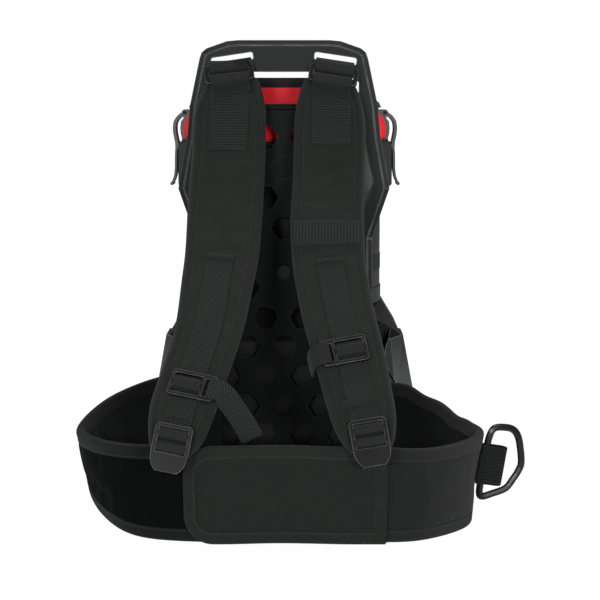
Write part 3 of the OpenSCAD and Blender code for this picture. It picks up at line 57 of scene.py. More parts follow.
cameraSet = {"lens": 96, "sensor": 36, "place": (0.016, -1.7236, 0.4436), "tilt": 7.13}
cameraData = bpy.data.cameras.new("camera")
cameraData.lens = cameraSet["lens"]
cameraData.sensor_width = cameraSet["sensor"]
camera = newObject("camera", cameraData)
camera.location = cameraSet["place"]
camera.rotation_euler = (math.radians(90 - cameraSet["tilt"]), 0, 0)
scene.camera = camera
scene.view_settings.view_transform = "Standard"

lampSet = {  # place, aim, size, watts
    "keyLamp": ((-0.9, -2.1, 1.75), (0, 0, 0.3), 0.8, 7),
    "leftFront": ((-0.42, -1.98, 0.53), (0, 0, 0.35), 0.3, 12.5),
    "rightFront": ((0.44, -1.98, 0.55), (0, 0, 0.35), 0.3, 12.5),
    "leftLamp": ((-1.5, 0.5, 0.9), (0, 0, 0.3), 0.5, 8),
    "rightLamp": ((1.35, 0.25, 0.75), (0, 0, 0.25), (0.16, 1.3), 10),
    "topLamp": ((0, 0.3, 2.0), (0, 0, 0.4), (1.4, 0.4), 12)}
worldLight = {"seen": 1.0, "soft": 0.17, "mirrored": 0.06}  # strength for the camera, for light, for gloss
floorSet = {"half": 30, "z": -0.0004, "shade": 0.14, "reach": (0.35, 1.1), "grey": 0.9, "glow": 1.1}

# Rectangular lamp whose axis points from its place to its aim.
def addLamp(name, place, aim, size, watts):
    data = bpy.data.lights.new(name, "AREA")
    data.shape = "RECTANGLE"
    data.size, data.size_y = size if isinstance(size, tuple) else (size, size)
    data.energy = watts
    lamp = newObject(name, data)
    lamp.location = place
    away = np.array(place, float) - np.array(aim, float)
    lamp.rotation_euler = (math.atan2(math.hypot(away[0], away[1]), away[2]), 0,
        math.atan2(away[1], away[0]) + math.pi / 2)

for lampName, values in lampSet.items():
    addLamp(lampName, *values)

# node helpers

def wire(tree, source, target):
    tree.links.new(source, target)

def addNode(tree, kind, **values):
    node = tree.nodes.new("ShaderNode" + kind)
    for key, value in values.items():
        setattr(node, key, value)
    return node

# A number or a triple becomes the socket's own value, and anything else is a link.
def feed(tree, slot, value):
    if isinstance(value, (int, float)):
        slot.default_value = value
    elif isinstance(value, tuple):
        slot.default_value = (*value, 1)
    elif value is not None:
        wire(tree, value, slot)

# Math node of one or two values.
def calc(tree, operation, first, second=None, clamp=False):
    node = addNode(tree, "Math", operation=operation, use_clamp=clamp)
    feed(tree, node.inputs[0], first)
    feed(tree, node.inputs[1], second)
    return node.outputs[0]

def times(tree, first, second, clamp=False):
    return calc(tree, "MULTIPLY", first, second, clamp)

def plus(tree, first, second, clamp=False):
    return calc(tree, "ADD", first, second, clamp)

# Colour between two: first * (1 - factor) + second * factor.
def mixColour(tree, factor, first, second):
    node = addNode(tree, "Mix", data_type="RGBA")
    for number, value in ((0, factor), (6, first), (7, second)):
        feed(tree, node.inputs[number], value)
    return node.outputs[2]

def noise(tree, vector, scale, detail):
    node = addNode(tree, "TexNoise")
    for key, value in (("Vector", vector), ("Scale", scale), ("Detail", detail)):
        feed(tree, node.inputs[key], value)
    return node.outputs[0]

def newGroup(name, inputs, outputs):
    group = bpy.data.node_groups.new(name, "ShaderNodeTree")
    for label, kind, value in inputs:
        socket = group.interface.new_socket(label, in_out="INPUT", socket_type="NodeSocket" + kind)
        if value is not None:
            socket.default_value = value
    for label, kind in outputs:
        group.interface.new_socket(label, in_out="OUTPUT", socket_type="NodeSocket" + kind)
    return group, group.nodes.new("NodeGroupInput").outputs, group.nodes.new("NodeGroupOutput").inputs

# edge wear and painted edge highlight: the shading normal is blended over a small radius, and the mask is 22 times
# one minus the cosine of its turn, in patches
edgeGroup, given, out = newGroup(
    "edgeWearAndHighlight", [("Radius", "Float", 0.0008), ("Amount", "Float", 1.0), ("Scale", "Float", 60.0)],
    [("Mask", "Float"), ("Normal", "Vector")])
bevel = addNode(edgeGroup, "Bevel", samples=4)
wire(edgeGroup, given["Radius"], bevel.inputs["Radius"])
face = addNode(edgeGroup, "NewGeometry")
turn = addNode(edgeGroup, "VectorMath", operation="DOT_PRODUCT")
wire(edgeGroup, bevel.outputs[0], turn.inputs[0])
wire(edgeGroup, face.outputs["Normal"], turn.inputs[1])
place = addNode(edgeGroup, "TexCoord")
patch = noise(edgeGroup, place.outputs["Object"], given["Scale"], 4)
away = times(edgeGroup, calc(edgeGroup, "SUBTRACT", 1.0, turn.outputs["Value"]), 22.0, True)
wearAndHighlight = times(edgeGroup, away, times(edgeGroup, patch, 1.5))
wire(edgeGroup, times(edgeGroup, wearAndHighlight, given["Amount"], True), out["Mask"])
wire(edgeGroup, bevel.outputs[0], out["Normal"])

# moulded grain: two noises, fine for the bumps and coarse for the tone
grainGroup, given, out = newGroup(
    "mouldGrain", [("Vector", "Vector", None), ("Scale", "Float", 1500.0), ("Coarse", "Float", 14.0)],
    [("Height", "Float"), ("Tone", "Float")])
wire(grainGroup, noise(grainGroup, given["Vector"], given["Scale"], 3), out["Height"])
wire(grainGroup, noise(grainGroup, given["Vector"], given["Coarse"], 5), out["Tone"])

# dust: lies on faces that look up, in patches
dustGroup, given, out = newGroup("dust", [("Vector", "Vector", None), ("Amount", "Float", 0.2)], [("Mask", "Float")])
face = addNode(dustGroup, "NewGeometry")
split = addNode(dustGroup, "SeparateXYZ")
wire(dustGroup, face.outputs["Normal"], split.inputs[0])
patch = noise(dustGroup, given["Vector"], 25, 6)
level = times(dustGroup, plus(dustGroup, split.outputs["Z"], 0.25), patch, True)
wire(dustGroup, times(dustGroup, level, given["Amount"], True), out["Mask"])

# woven threads: product of two sine waves on the cloth's own map, in metres; Ribs fades the cross threads out
weaveGroup, given, out = newGroup(
    "weave", [("Vector", "Vector", None), ("Across", "Float", 0.0012), ("Along", "Float", 0.0012),
        ("Slant", "Float", 0.0), ("Ribs", "Float", 0.0)], [("Height", "Float"), ("Tone", "Float")])
split = addNode(weaveGroup, "SeparateXYZ")
wire(weaveGroup, given["Vector"], split.inputs[0])
wobble = noise(weaveGroup, given["Vector"], 220, 2)
drift = times(weaveGroup, wobble, 1.6)
slanted = plus(weaveGroup, split.outputs["Y"], times(weaveGroup, split.outputs["X"], given["Slant"]))

# Sine of 2 pi * run / pitch + drift.
def threadWave(run, pitch):
    turns = calc(weaveGroup, "DIVIDE", run, pitch)
    return calc(weaveGroup, "SINE", plus(weaveGroup, drift, times(weaveGroup, turns, 2 * math.pi)))

alongWave = threadWave(slanted, given["Along"])
cross = times(weaveGroup, alongWave, threadWave(split.outputs["X"], given["Across"]))
blend = addNode(weaveGroup, "Mix", data_type="FLOAT")
for number, value in ((0, given["Ribs"]), (2, cross), (3, alongWave)):
    wire(weaveGroup, value, blend.inputs[number])
half = times(weaveGroup, blend.outputs[0], 0.5)
wire(weaveGroup, plus(weaveGroup, half, 0.5), out["Height"])
wire(weaveGroup, wobble, out["Tone"])

def placeGroup(tree, group, vector=None, **values):
    node = addNode(tree, "Group", node_tree=group)
    for key, value in values.items():
        node.inputs[key].default_value = value
    if vector is not None:
        wire(tree, vector, node.inputs["Vector"])
    return node.outputs

def newMaterial(name):
    material = bpy.data.materials.new(name)
    material.use_nodes = True
    tree = material.node_tree
    return material, tree, tree.nodes["Principled BSDF"].inputs

def setPlain(sockets, values):
    for key, value in values.items():
        sockets[key].default_value = value

# Bump of the given strength and depth in metres, from a height and, where there is one, a normal.
def addBump(tree, sockets, strength, depth, height, normal=None):
    bump = addNode(tree, "Bump")
    setPlain(bump.inputs, {"Strength": strength, "Distance": depth})
    wire(tree, height, bump.inputs["Height"])
    if normal is not None:
        wire(tree, normal, bump.inputs["Normal"])
    wire(tree, bump.outputs[0], sockets["Normal"])

# Moulded plastic, rubber or plain metal on object coordinates: the colour goes from 0.82 to 1.12 of itself with the
# grain, to a lighter rim on edges that is wear and, with a large rim, a painted edge highlight, to grey in dust, and to
# 0.12 of itself where other surfaces stand close, which is painted shade.
def moulded(name, colour, rough, grain=0.15, grainScale=1500.0, wearAndHighlight=0.35, dusty=0.12, radius=0.0008,
        metal=0.0, specular=0.4, streak=None, rim=0.06, paintedShadeReach=0.0):
    material, tree, sockets = newMaterial(name)
    setPlain(sockets, {"Metallic": metal, "Specular IOR Level": specular})
    place = addNode(tree, "TexCoord").outputs["Object"]
    edge = placeGroup(tree, edgeGroup, Radius=radius, Amount=wearAndHighlight)
    drawn = place
    if streak:  # brushed: the grain is drawn out along one axis
        mapping = addNode(tree, "Mapping")
        mapping.inputs["Scale"].default_value = streak
        wire(tree, place, mapping.inputs["Vector"])
        drawn = mapping.outputs[0]
    grained = placeGroup(tree, grainGroup, drawn, Scale=grainScale)
    dust = placeGroup(tree, dustGroup, place, Amount=dusty)
    # lighter edge colour: wear, and with a large rim a painted highlight along the edge
    wearAndHighlightColour = tuple(min(1, c * 1.6 + rim) for c in colour)
    base = mixColour(tree, grained["Tone"], tuple(c * 0.82 for c in colour), tuple(min(1, c * 1.12) for c in colour))
    base = mixColour(tree, edge["Mask"], base, wearAndHighlightColour)
    base = mixColour(tree, dust["Mask"], base, (0.16, 0.15, 0.14))
    # painted shade: where ambient occlusion finds other surfaces close by, the colour falls to 0.12 of itself
    if paintedShadeReach:
        near = addNode(tree, "AmbientOcclusion", samples=8)
        near.inputs["Distance"].default_value = paintedShadeReach
        clear = calc(tree, "POWER", near.outputs["AO"], 2.5)
        base = mixColour(tree, clear, tuple(c * 0.12 for c in colour), base)
    wire(tree, base, sockets["Base Color"])
    tone = times(tree, calc(tree, "SUBTRACT", grained["Tone"], 0.5), 0.16)
    wire(tree, plus(tree, plus(tree, tone, rough), times(tree, dust["Mask"], 0.5), True), sockets["Roughness"])
    addBump(tree, sockets, grain, 0.0003, grained["Height"], edge["Normal"])
    return material

# Woven or knitted cloth on the piece's own map, in metres: weave and pile swing the colour by the contrast both ways.
def fabric(name, colour, across=0.0014, along=0.0014, slant=0.0, ribs=0.0, depth=1.0, contrast=0.35,
        rough=0.9, sheen=0.05, fuzz=0.0, specular=0.15, pileScale=520.0, fleck=1.6):
    material, tree, sockets = newMaterial(name)
    setPlain(sockets, {"Sheen Weight": sheen, "Sheen Roughness": 0.5, "Specular IOR Level": specular})
    place = addNode(tree, "UVMap", uv_map="cloth").outputs[0]
    woven = placeGroup(tree, weaveGroup, place, Across=across, Along=along, Slant=slant, Ribs=ribs)
    pile = placeGroup(tree, grainGroup, place, Scale=pileScale, Coarse=30.0)
    body = addNode(tree, "TexCoord").outputs["Object"]
    dust = placeGroup(tree, dustGroup, body, Amount=0.02)
    low = tuple(c * (1 - contrast) for c in colour)
    high = tuple(min(1, c * (1 + contrast)) for c in colour)
    speck = times(tree, calc(tree, "SUBTRACT", pile["Height"], 0.5), fleck)
    base = mixColour(tree, plus(tree, woven["Height"], speck, True), low, high)
    base = mixColour(tree, times(tree, pile["Tone"], 0.5), base, tuple(c * 1.25 for c in colour))
    base = mixColour(tree, dust["Mask"], base, (0.2, 0.19, 0.18))
    wire(tree, base, sockets["Base Color"])
    wire(tree, plus(tree, times(tree, woven["Height"], -0.08), rough + 0.04, True), sockets["Roughness"])
    height = plus(tree, times(tree, woven["Height"], 1 - fuzz), times(tree, pile["Height"], 0.25 + fuzz))
    addBump(tree, sockets, depth, 0.0004, height)
    return material

# floor: white to the camera far from the object; near it the lit floor counts for a share that falls from shade to
# nothing within reach, so that its soft shadow is kept
def stageMaterial():
    material, tree, sockets = newMaterial("floorWhite")
    tree.nodes.remove(tree.nodes["Principled BSDF"])
    plain = addNode(tree, "BsdfDiffuse")
    feed(tree, plain.inputs["Color"], (floorSet["grey"],) * 3)
    glow = addNode(tree, "Emission")
    glow.inputs["Strength"].default_value = floorSet["glow"]
    path = addNode(tree, "LightPath")
    place = addNode(tree, "TexCoord")
    away = addNode(tree, "VectorMath", operation="LENGTH")
    wire(tree, place.outputs["Object"], away.inputs[0])
    near = addNode(tree, "MapRange", interpolation_type="SMOOTHSTEP")
    for slot, value in zip(near.inputs, (away.outputs["Value"], *floorSet["reach"], floorSet["shade"], 0.0)):
        feed(tree, slot, value)
    mix = addNode(tree, "MixShader")
    white = times(tree, path.outputs["Is Camera Ray"], calc(tree, "SUBTRACT", 1.0, near.outputs[0]))
    for slot, value in zip(mix.inputs, (white, plain.outputs[0], glow.outputs[0])):
        wire(tree, value, slot)
    wire(tree, mix.outputs[0], tree.nodes["Material Output"].inputs["Surface"])
    return material

# world: white to the camera, a dim studio to everything else
world = bpy.data.worlds.new("studio")
world.use_nodes = True
scene.world = world
tree = world.node_tree
path = addNode(tree, "LightPath")
level = worldLight["soft"]
for ray, key in (("Is Glossy Ray", "mirrored"), ("Is Camera Ray", "seen")):
    level = plus(tree, times(tree, path.outputs[ray], worldLight[key] - worldLight["soft"]), level)
wire(tree, level, tree.nodes["Background"].inputs["Strength"])
tree.nodes["Background"].inputs["Color"].default_value = (1, 1, 1, 1)

# mesh helpers

# Object from whole arrays: points in millimetres, quads as rows of four, ends as lists of point numbers; second is
# another material and the faces that wear it. Its volume, a sum of triple products, shows whether it is inside out.
def buildMesh(name, points, quads, maps, material, slot, ends=(), crease=None, second=None):
    quads = np.asarray(quads)
    sizes = np.concatenate([np.full(len(quads), 4), [len(e) for e in ends]]).astype(np.int32)
    corners = np.concatenate([quads.ravel()] + [np.asarray(e) for e in ends]).astype(np.int32)
    points = np.asarray(points, float).reshape(-1, 3) * mm
    a, b, c, d = (points[quads[:, k]] for k in range(4))
    volume = (np.cross(a, b) * c).sum() + (np.cross(a, c) * d).sum()
    mesh = bpy.data.meshes.new(name)
    mesh.vertices.add(len(points))
    mesh.vertices.foreach_set("co", points.ravel())
    mesh.loops.add(len(corners))
    mesh.loops.foreach_set("vertex_index", corners)
    mesh.polygons.add(len(sizes))
    mesh.polygons.foreach_set("loop_start", np.concatenate([[0], np.cumsum(sizes)[:-1]]).astype(np.int32))
    mesh.update(calc_edges=True)
    layer = mesh.uv_layers.new(name="cloth")
    flat = [np.asarray(maps, float).reshape(-1, 2)] + [points[np.asarray(e)][:, [0, 2]] / mm for e in ends]
    layer.data.foreach_set("uv", (np.concatenate(flat) * mm).astype(np.float32).ravel())
    if volume < 0:
        mesh.flip_normals()
    mesh.polygons.foreach_set("use_smooth", np.full(len(sizes), True))
    if crease:
        mesh.set_sharp_from_angle(angle=math.radians(crease))
    mesh.materials.append(material)
    if second:
        mesh.materials.append(second[0])
        marks = np.zeros(len(sizes), np.int32)
        marks[:len(quads)] = second[1].ravel()
        mesh.polygons.foreach_set("material_index", marks)
    mesh.validate()
    piece = newObject(name, mesh)
    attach(piece, "machine")
    return piece

# Quads of a grid, row by row, whose last column is joined to the first.
def gridQuads(rows, columns):
    i, j = np.meshgrid(np.arange(rows - 1), np.arange(columns), indexing="ij")
    j2 = (j + 1) % columns
    return np.stack([i * columns + j, i * columns + j2, (i + 1) * columns + j2, (i + 1) * columns + j],
        -1).reshape(-1, 4)

# Closed skin over rings (rows, columns, 3), capped at both ends; its map is the distance across, which has one column
# more, and the distance along.
def tubeMesh(name, rings, across, along, **values):
    rows, columns = rings.shape[:2]
    maps = np.stack(np.broadcast_arrays(across, along.reshape(rows, -1)), -1)
    corner = np.stack([maps[:-1, :-1], maps[:-1, 1:], maps[1:, 1:], maps[1:, :-1]], 2).reshape(-1, 2)
    caps = [np.arange(columns)[::-1], np.arange(columns) + (rows - 1) * columns]
    return buildMesh(name, rings, gridQuads(rows, columns), corner, ends=caps, **values)

# Skin over a front and a back grid that meet at both sides; the map is the distance across and the distance along.
def shellMesh(name, front, back, across, along, **values):
    rings = np.concatenate([front, back[:, ::-1]], 1)
    wide = np.concatenate([across, across[:, ::-1], across[:, :1]], 1)
    return tubeMesh(name, rings, wide, along, **values)

# Rows divided by their lengths.
def unitRows(v):
    return v / np.maximum(np.linalg.norm(v, axis=-1, keepdims=True), 1e-9)

# Distance along a row of points: running sum of the steps' lengths.
def runLength(p):
    return np.concatenate([[0], np.cumsum(np.linalg.norm(np.diff(p, axis=0), axis=1))])

# Quarter circle that rises to 1 at the distance r: root of 1 - (1 - d / r) squared, where that is kept above low.
def quarterRound(d, r, low=0.0):
    return np.sqrt(np.clip(1 - (1 - np.minimum(d / r, 1)) ** 2, low, 1))

# Catmull-Rom curve through the points: on each span the cubic whose end slopes are half the chords of the neighbours.
def smoothCurve(points, t):
    p = np.asarray(points, float)
    p = np.concatenate([[2 * p[0] - p[1]], p, [2 * p[-1] - p[-2]]])
    t = np.asarray(t, float)
    i = np.clip(np.floor(t).astype(int), 0, len(p) - 4)
    u = (t - i).reshape(t.shape + (1,) * (p.ndim - 1))
    a, b, c, d = p[i], p[i + 1], p[i + 2], p[i + 3]
    return 0.5 * (2 * b + (c - a) * u + (2 * a - 5 * b + 4 * c - d) * u ** 2 + (3 * b - a - 3 * c + d) * u ** 3)

# Direction of that curve at t: its chord from t - 0.05 to t + 0.05.
def curveAhead(points, t):
    return unitRows(smoothCurve(points, np.minimum(len(points) - 1, t + 0.05))
        - smoothCurve(points, np.maximum(0, t - 0.05)))

# Corner points with each corner replaced by a parabola that starts and ends cut away from it; extra columns go along.
def roundedPath(rows, cut, steps=6):
    p = np.asarray(rows, float)
    before, after = p[:-2] - p[1:-1], p[2:] - p[1:-1]
    lb = np.linalg.norm(before[:, :3], axis=1)[:, None]
    la = np.linalg.norm(after[:, :3], axis=1)[:, None]
    start = p[1:-1] + before * np.minimum(cut / lb, 0.48)
    end = p[1:-1] + after * np.minimum(cut / la, 0.48)
    t = np.linspace(0, 1, steps)[None, :, None]
    arcs = start[:, None] * (1 - t) ** 2 + 2 * p[1:-1][:, None] * t * (1 - t) + end[:, None] * t ** 2
    return np.concatenate([p[:1], arcs.reshape(-1, p.shape[1]), p[-1:]])

# The same line in equal steps of about pitch.
def evenPath(rows, pitch):
    p = np.asarray(rows, float)
    run = runLength(p[:, :3])
    at = np.linspace(0, run[-1], max(2, int(round(run[-1] / pitch)) + 1))
    return np.stack([np.interp(at, run, p[:, k]) for k in range(p.shape[1])], 1), at

# Rounded oblong as [across, out]: two half circles joined by straight runs.
def stripSection(width, thick, edge=4, flat=10):
    r = thick / 2
    a = np.linspace(-np.pi / 2, np.pi / 2, edge + 2)
    right = np.stack([width / 2 - r + r * np.cos(a), r * np.sin(a)], 1)
    left = np.stack([-width / 2 + r - r * np.cos(a), -r * np.sin(a)], 1)
    x = np.linspace(width / 2 - r, -width / 2 + r, flat + 2)[1:-1]
    top = np.stack([x, np.full_like(x, r)], 1)
    return np.concatenate([right, top, left, -top])

# Section of a folded tape and its widths: a line with rounded corners, and the same line lift away on either side.
def tapeSection(corners, cut, steps, lift, last):
    u = np.asarray(corners, float)
    u = roundedPath(np.concatenate([u, np.zeros((len(u), 1))], 1), cut, steps)[:, :2]
    ahead = unitRows(np.gradient(u, axis=0))
    off = np.stack([-ahead[:, 1], ahead[:, 0]], 1) * lift
    section = np.concatenate([u + off, (u - off)[::-1]])
    return section, np.concatenate([runLength(section), [last]])

# Webbing: a rounded strip carried along a line, its width along the given directions; the map is the distance
# across and the distance along.
def ribbonPiece(name, corners, sideways, width, material, cut=3.0, pitch=1.6, thick=2):
    rows = np.concatenate([corners, np.broadcast_to(sideways, np.shape(corners))], 1)
    path, run = evenPath(roundedPath(rows, cut), pitch)
    centre, lat = path[:, :3], path[:, 3:]
    ahead = unitRows(np.gradient(centre, axis=0))
    lat = unitRows(lat - ahead * (ahead * lat).sum(1, keepdims=True))
    section = stripSection(width, thick)
    rings = (centre[:, None] + lat[:, None] * section[None, :, :1]
        + np.cross(ahead, lat)[:, None] * section[None, :, 1:])
    across = np.concatenate([section[:, 0], section[:1, 0]])
    return tubeMesh(name, rings, across, run, material=material, slot="webbing")

stitchSet = {"pitch": 3.6, "long": 2.6, "thick": 0.55, "sink": 0.1, "sides": 6}

# Row of thread stitches: one small six-sided capsule, copied along a line with its up side along the normals.
def stitchRow(name, points, normals, slot):
    count = stitchSet["sides"]
    line, run = evenPath(np.concatenate([points, normals], 1), stitchSet["pitch"])
    centre, up = line[:, :3], unitRows(line[:, 3:])
    ahead = unitRows(np.gradient(centre, axis=0))
    side = unitRows(np.cross(ahead, up))
    x = np.array([-0.5, -0.3, 0.3, 0.5]) * stitchSet["long"]
    r = np.array([0.35, 1, 1, 0.35]) * stitchSet["thick"] / 2
    a = np.arange(count) * np.pi / 3
    base = np.stack([np.repeat(x, count), np.outer(r, np.cos(a)).ravel(), np.outer(r, np.sin(a)).ravel()], 1)
    base[:, 2] -= stitchSet["sink"] * (np.abs(base[:, 0]) > 0.4 * stitchSet["long"])
    points = (centre[:, None] + ahead[:, None] * base[None, :, :1] + side[:, None] * base[None, :, 1:2]
        + up[:, None] * base[None, :, 2:]).reshape(-1, 3)
    shift = (np.arange(len(centre)) * len(base))[:, None, None]
    quads = (gridQuads(4, count)[None] + shift).reshape(-1, 4)
    first = np.arange(count)[None] + shift[:, 0]
    ends = np.concatenate([first[:, ::-1], first + 3 * count])
    buildMesh(name, points, quads, np.zeros((len(quads) * 4, 2)), thread, slot, ends=list(ends))

clothSet = {"steps": 20, "bending": 0.4}

# padded cover: the mesh is blown up as cloth while its seams, its back and the strips under webbing are held; each
# point's move m is shortened to cap * tanh(m / cap), and the result is put into the mesh
def puffUp(piece, held, pressure, cap, ease, fill):
    started = time.time()
    mesh = piece.data
    group = piece.vertex_groups.new(name="held")
    group.add(np.nonzero(np.asarray(held).ravel())[0].tolist(), 1.0, "REPLACE")
    before = np.empty(len(mesh.vertices) * 3)
    mesh.vertices.foreach_get("co", before)
    cover = piece.modifiers.new("cover", "CLOTH")
    cover.settings.vertex_group_mass = "held"
    cover.settings.use_pressure = True
    cover.settings.uniform_pressure_force = pressure
    cover.settings.effector_weights.gravity = 0
    cover.settings.shrink_min = -ease  # the cloth is cut a little larger than the shape it covers
    cover.settings.bending_stiffness = clothSet["bending"]
    for number in range(1, clothSet["steps"] + 1):
        scene.frame_set(number)
    after = np.empty_like(before)
    piece.evaluated_get(bpy.context.evaluated_depsgraph_get()).data.vertices.foreach_get("co", after)
    move = np.nan_to_num((after - before).reshape(-1, 3))
    far = np.maximum(np.linalg.norm(move, axis=1, keepdims=True), 1e-9)
    mesh.vertices.foreach_set("co", before + (move * cap * np.tanh(far / cap) / far).ravel())
    piece.modifiers.remove(cover)
    piece.vertex_groups.remove(group)
    scene.frame_set(1)
    smooth = piece.modifiers.new("smooth", "SUBSURF")
    smooth.levels = smooth.render_levels = 1
    print("cloth", piece.name, "largest move %.2f mm" % (far.max() / mm), "%.1f s" % (time.time() - started))

print("helpers ready")

# cloths, plastics and metals

thread = fabric("thread", (0.036, 0.039, 0.036), across=0.0012, along=0.0012, depth=0.2, contrast=0.1)
padCloth = fabric("padCloth", (0.0138, 0.0155, 0.014), contrast=0.7, fuzz=0.2, pileScale=850.0, fleck=2.4)
tapeCloth = fabric("edgeTape", (0.0125, 0.014, 0.0128), across=0.0018, contrast=0.6, fleck=2.0)
darkTape = fabric("edgeTapeDark", (0.0042, 0.0052, 0.0047), across=0.0018, contrast=0.6, fleck=2.0)
beltCloth = fabric("beltCloth", (0.0108, 0.0122, 0.0112), contrast=0.7, fuzz=0.25, pileScale=900.0, fleck=2.6)
velour = fabric("velour", (0.0012, 0.0019, 0.0016), across=0.0019, along=0.0019, depth=0.7, contrast=0.4,
    fuzz=0.7, sheen=0.008, specular=0.06)
lining = fabric("lining", (0.0034, 0.0044, 0.0039), across=0.0022, along=0.0022, depth=0.6, contrast=0.4, fuzz=0.4)
webRibbed = fabric("webbingRibbed", (0.0145, 0.016, 0.0152), across=0.004, along=0.0027, ribs=0.75,
    contrast=0.75, fleck=2.4)
webSmooth = fabric("webbingSmooth", (0.0105, 0.0117, 0.011), across=0.0018, along=0.0018, ribs=0.3, depth=0.8,
    contrast=0.6, rough=0.7)
webTwill = fabric("webbingTwill", (0.015, 0.0166, 0.0156), across=0.003, along=0.0026, slant=0.6, ribs=0.95,
    contrast=0.98, fleck=0.7)
elastic = fabric("elasticBand", (0.015, 0.0165, 0.0157), across=0.003, along=0.06, slant=20.0, ribs=0.8, contrast=0.8)
ringCloth = fabric("ringWebbing", (0.0085, 0.0097, 0.0092), across=0.003, along=0.06, slant=20.0, ribs=0.8,
    depth=0.9, contrast=0.6)

blackSteel = moulded("steelBlackened", (0.01, 0.011, 0.0115), 0.42, metal=0.1, wearAndHighlight=0.5, specular=0.1)
# cover, frame, panel and buckle plastics: a low specular level with a large rim and wear amount paint a light highlight
# line on their edges
slotFinishes = {
    "gloss_cover": moulded("coverGloss", (0.0045, 0.0055, 0.006), 0.06, grain=0.01, wearAndHighlight=1.0, dusty=0.0,
        specular=0.15, radius=0.0007, rim=0.5),
    "red_shell": moulded("shellRed", (0.95, 0.022, 0.036), 0.2, grain=0.03, wearAndHighlight=0.05, dusty=0.01, specular=0.1),
    "black_plastic": moulded("plasticBlack", (0.0085, 0.0095, 0.0095), 0.34, grain=0.2),
    "rubber": moulded("rubberBlack", (0.0075, 0.0078, 0.0078), 0.78, grain=0.4, grainScale=900, specular=0.25),
    "frame_plastic": moulded("frameBlack", (0.0135, 0.0158, 0.0156), 0.36, radius=0.001, wearAndHighlight=1.0,
        specular=0.05, rim=0.3),
    "panel_plastic": moulded("panelBlack", (0.003, 0.0044, 0.004), 0.5, grain=0.3, radius=0.0007, wearAndHighlight=1.0,
        specular=0.05, rim=0.05),
    "steel": moulded("steelPlain", (0.5, 0.51, 0.52), 0.3, metal=1.0, grain=0.08, streak=(1, 1, 0.05), dusty=0.05),
    "motor_metal": moulded("castMetal", (0.46, 0.47, 0.48), 0.46, metal=1.0, grain=0.4, grainScale=700),
    "fan_plastic": moulded("fanPale", (0.5, 0.51, 0.49), 0.38, grain=0.12),
    "filter_paper": moulded("filterPaper", (0.66, 0.64, 0.56), 0.86, grain=0.7, grainScale=500,
        specular=0.2, radius=0.0003),
    "circuit": moulded("circuitGreen", (0.02, 0.13, 0.06), 0.35, grain=0.1),
    "buckle_plastic": moulded("buckleBlack", (0.0085, 0.0095, 0.0092), 0.28, grain=0.06, wearAndHighlight=1.0,
        specular=0.05, rim=0.24)}
nodeFinishes = {  # nodes that differ from their slot
    "latch_pins": blackSteel, "frame_screws": blackSteel, "housing_screws": blackSteel,
    "tool_ring": moulded("ringBlack", (0.0055, 0.0062, 0.006), 0.26, grain=0.06, wearAndHighlight=0.12, specular=0.3),
    "base_shell_front": moulded("shellMatte", (0.018, 0.02, 0.0195), 0.42, grain=0.35, grainScale=1700),
    # the back shell and the canister carry painted shade where other surfaces stand close, as behind the hex panel
    "base_shell_back": moulded("shellRecessedPaintedShade", (0.026, 0.028, 0.0275), 0.42, grain=0.35, grainScale=1700,
        specular=0.12, paintedShadeReach=0.035),
    "canister": moulded("shellCanister", (0.022, 0.025, 0.0245), 0.34, grain=0.2, grainScale=1700,
        specular=0.12, paintedShadeReach=0.035)}
for row in frame["record"]["subparts"]:  # the soft slots aren't named here: their nodes are replaced below
    finish = nodeFinishes.get(row["node"], slotFinishes.get(row["material_slot"]))
    if finish:
        slots = nodes[row["node"]].data.materials
        slots.clear()
        slots.append(finish)
print("hard parts finished")

# shoulder straps

face = -136.0  # front of the back frame; places below are x, distance in front of it, height
strapSet = {
    "left": [[-51, 8, 463], [-51.2, 15, 448], [-52, 22, 428], [-53, 37, 388], [-55, 58, 349], [-57, 88, 303],
        [-61, 112, 273], [-66, 138, 241], [-73, 158, 216], [-80, 173, 196], [-87, 192, 175], [-92, 205, 156],
        [-96, 211, 142], [-98, 214, 130]],
    "leftWidth": [50, 62, 70, 71, 72, 70, 67, 63, 60, 59, 59, 53, 42, 24],
    "right": [[46, 8, 461], [45.5, 15, 446], [45, 23, 421], [44, 44, 372], [42, 68, 332], [43, 93, 296],
        [47, 114, 269], [51, 131, 249], [57, 150, 227], [62, 165, 208], [68, 185, 183], [73, 200, 163],
        [77, 209, 146], [79, 213, 133]],
    "rightWidth": [50, 61, 69, 69, 70, 69, 68, 67, 66, 64, 61, 57, 46, 28],
    "thick": 14, "tilt": 8.5, "gap": 0.3, "web": 2.0, "buckle": 4.0}
strapEnd = len(strapSet["left"]) - 1
webSet = {  # stations along the pads, and half widths
    "patch": 0.75, "patchEnd": {-1: 2.9, 1: 2.5}, "long": {-1: 5.25, 1: 5.15}, "lock": 12.15,
    "chest": {-1: 9.55, 1: 8.75}, "keeper": (4.15, 4.75), "half": 12.5, "patchHalf": 19}
padSet = {
    "rows": 140, "columns": 44, "crowd": 1.35, "round": 5.0, "endRound": 0.28, "narrow": 3, "seam": 9.5,
    "groove": 1.0, "grooveWide": 1.1, "tape": 0.1, "wave": 0.25, "thinnest": 0.15, "back": 0.96, "stitchLow": 0.75,
    "cloth": (3.0, 0.0035, 0.03, 0.7)}  # pressure, cap, ease, fill

def worldPoints(rows):
    q = np.asarray(rows, float)
    return np.stack([q[:, 0], face - q[:, 1], q[:, 2]], 1)

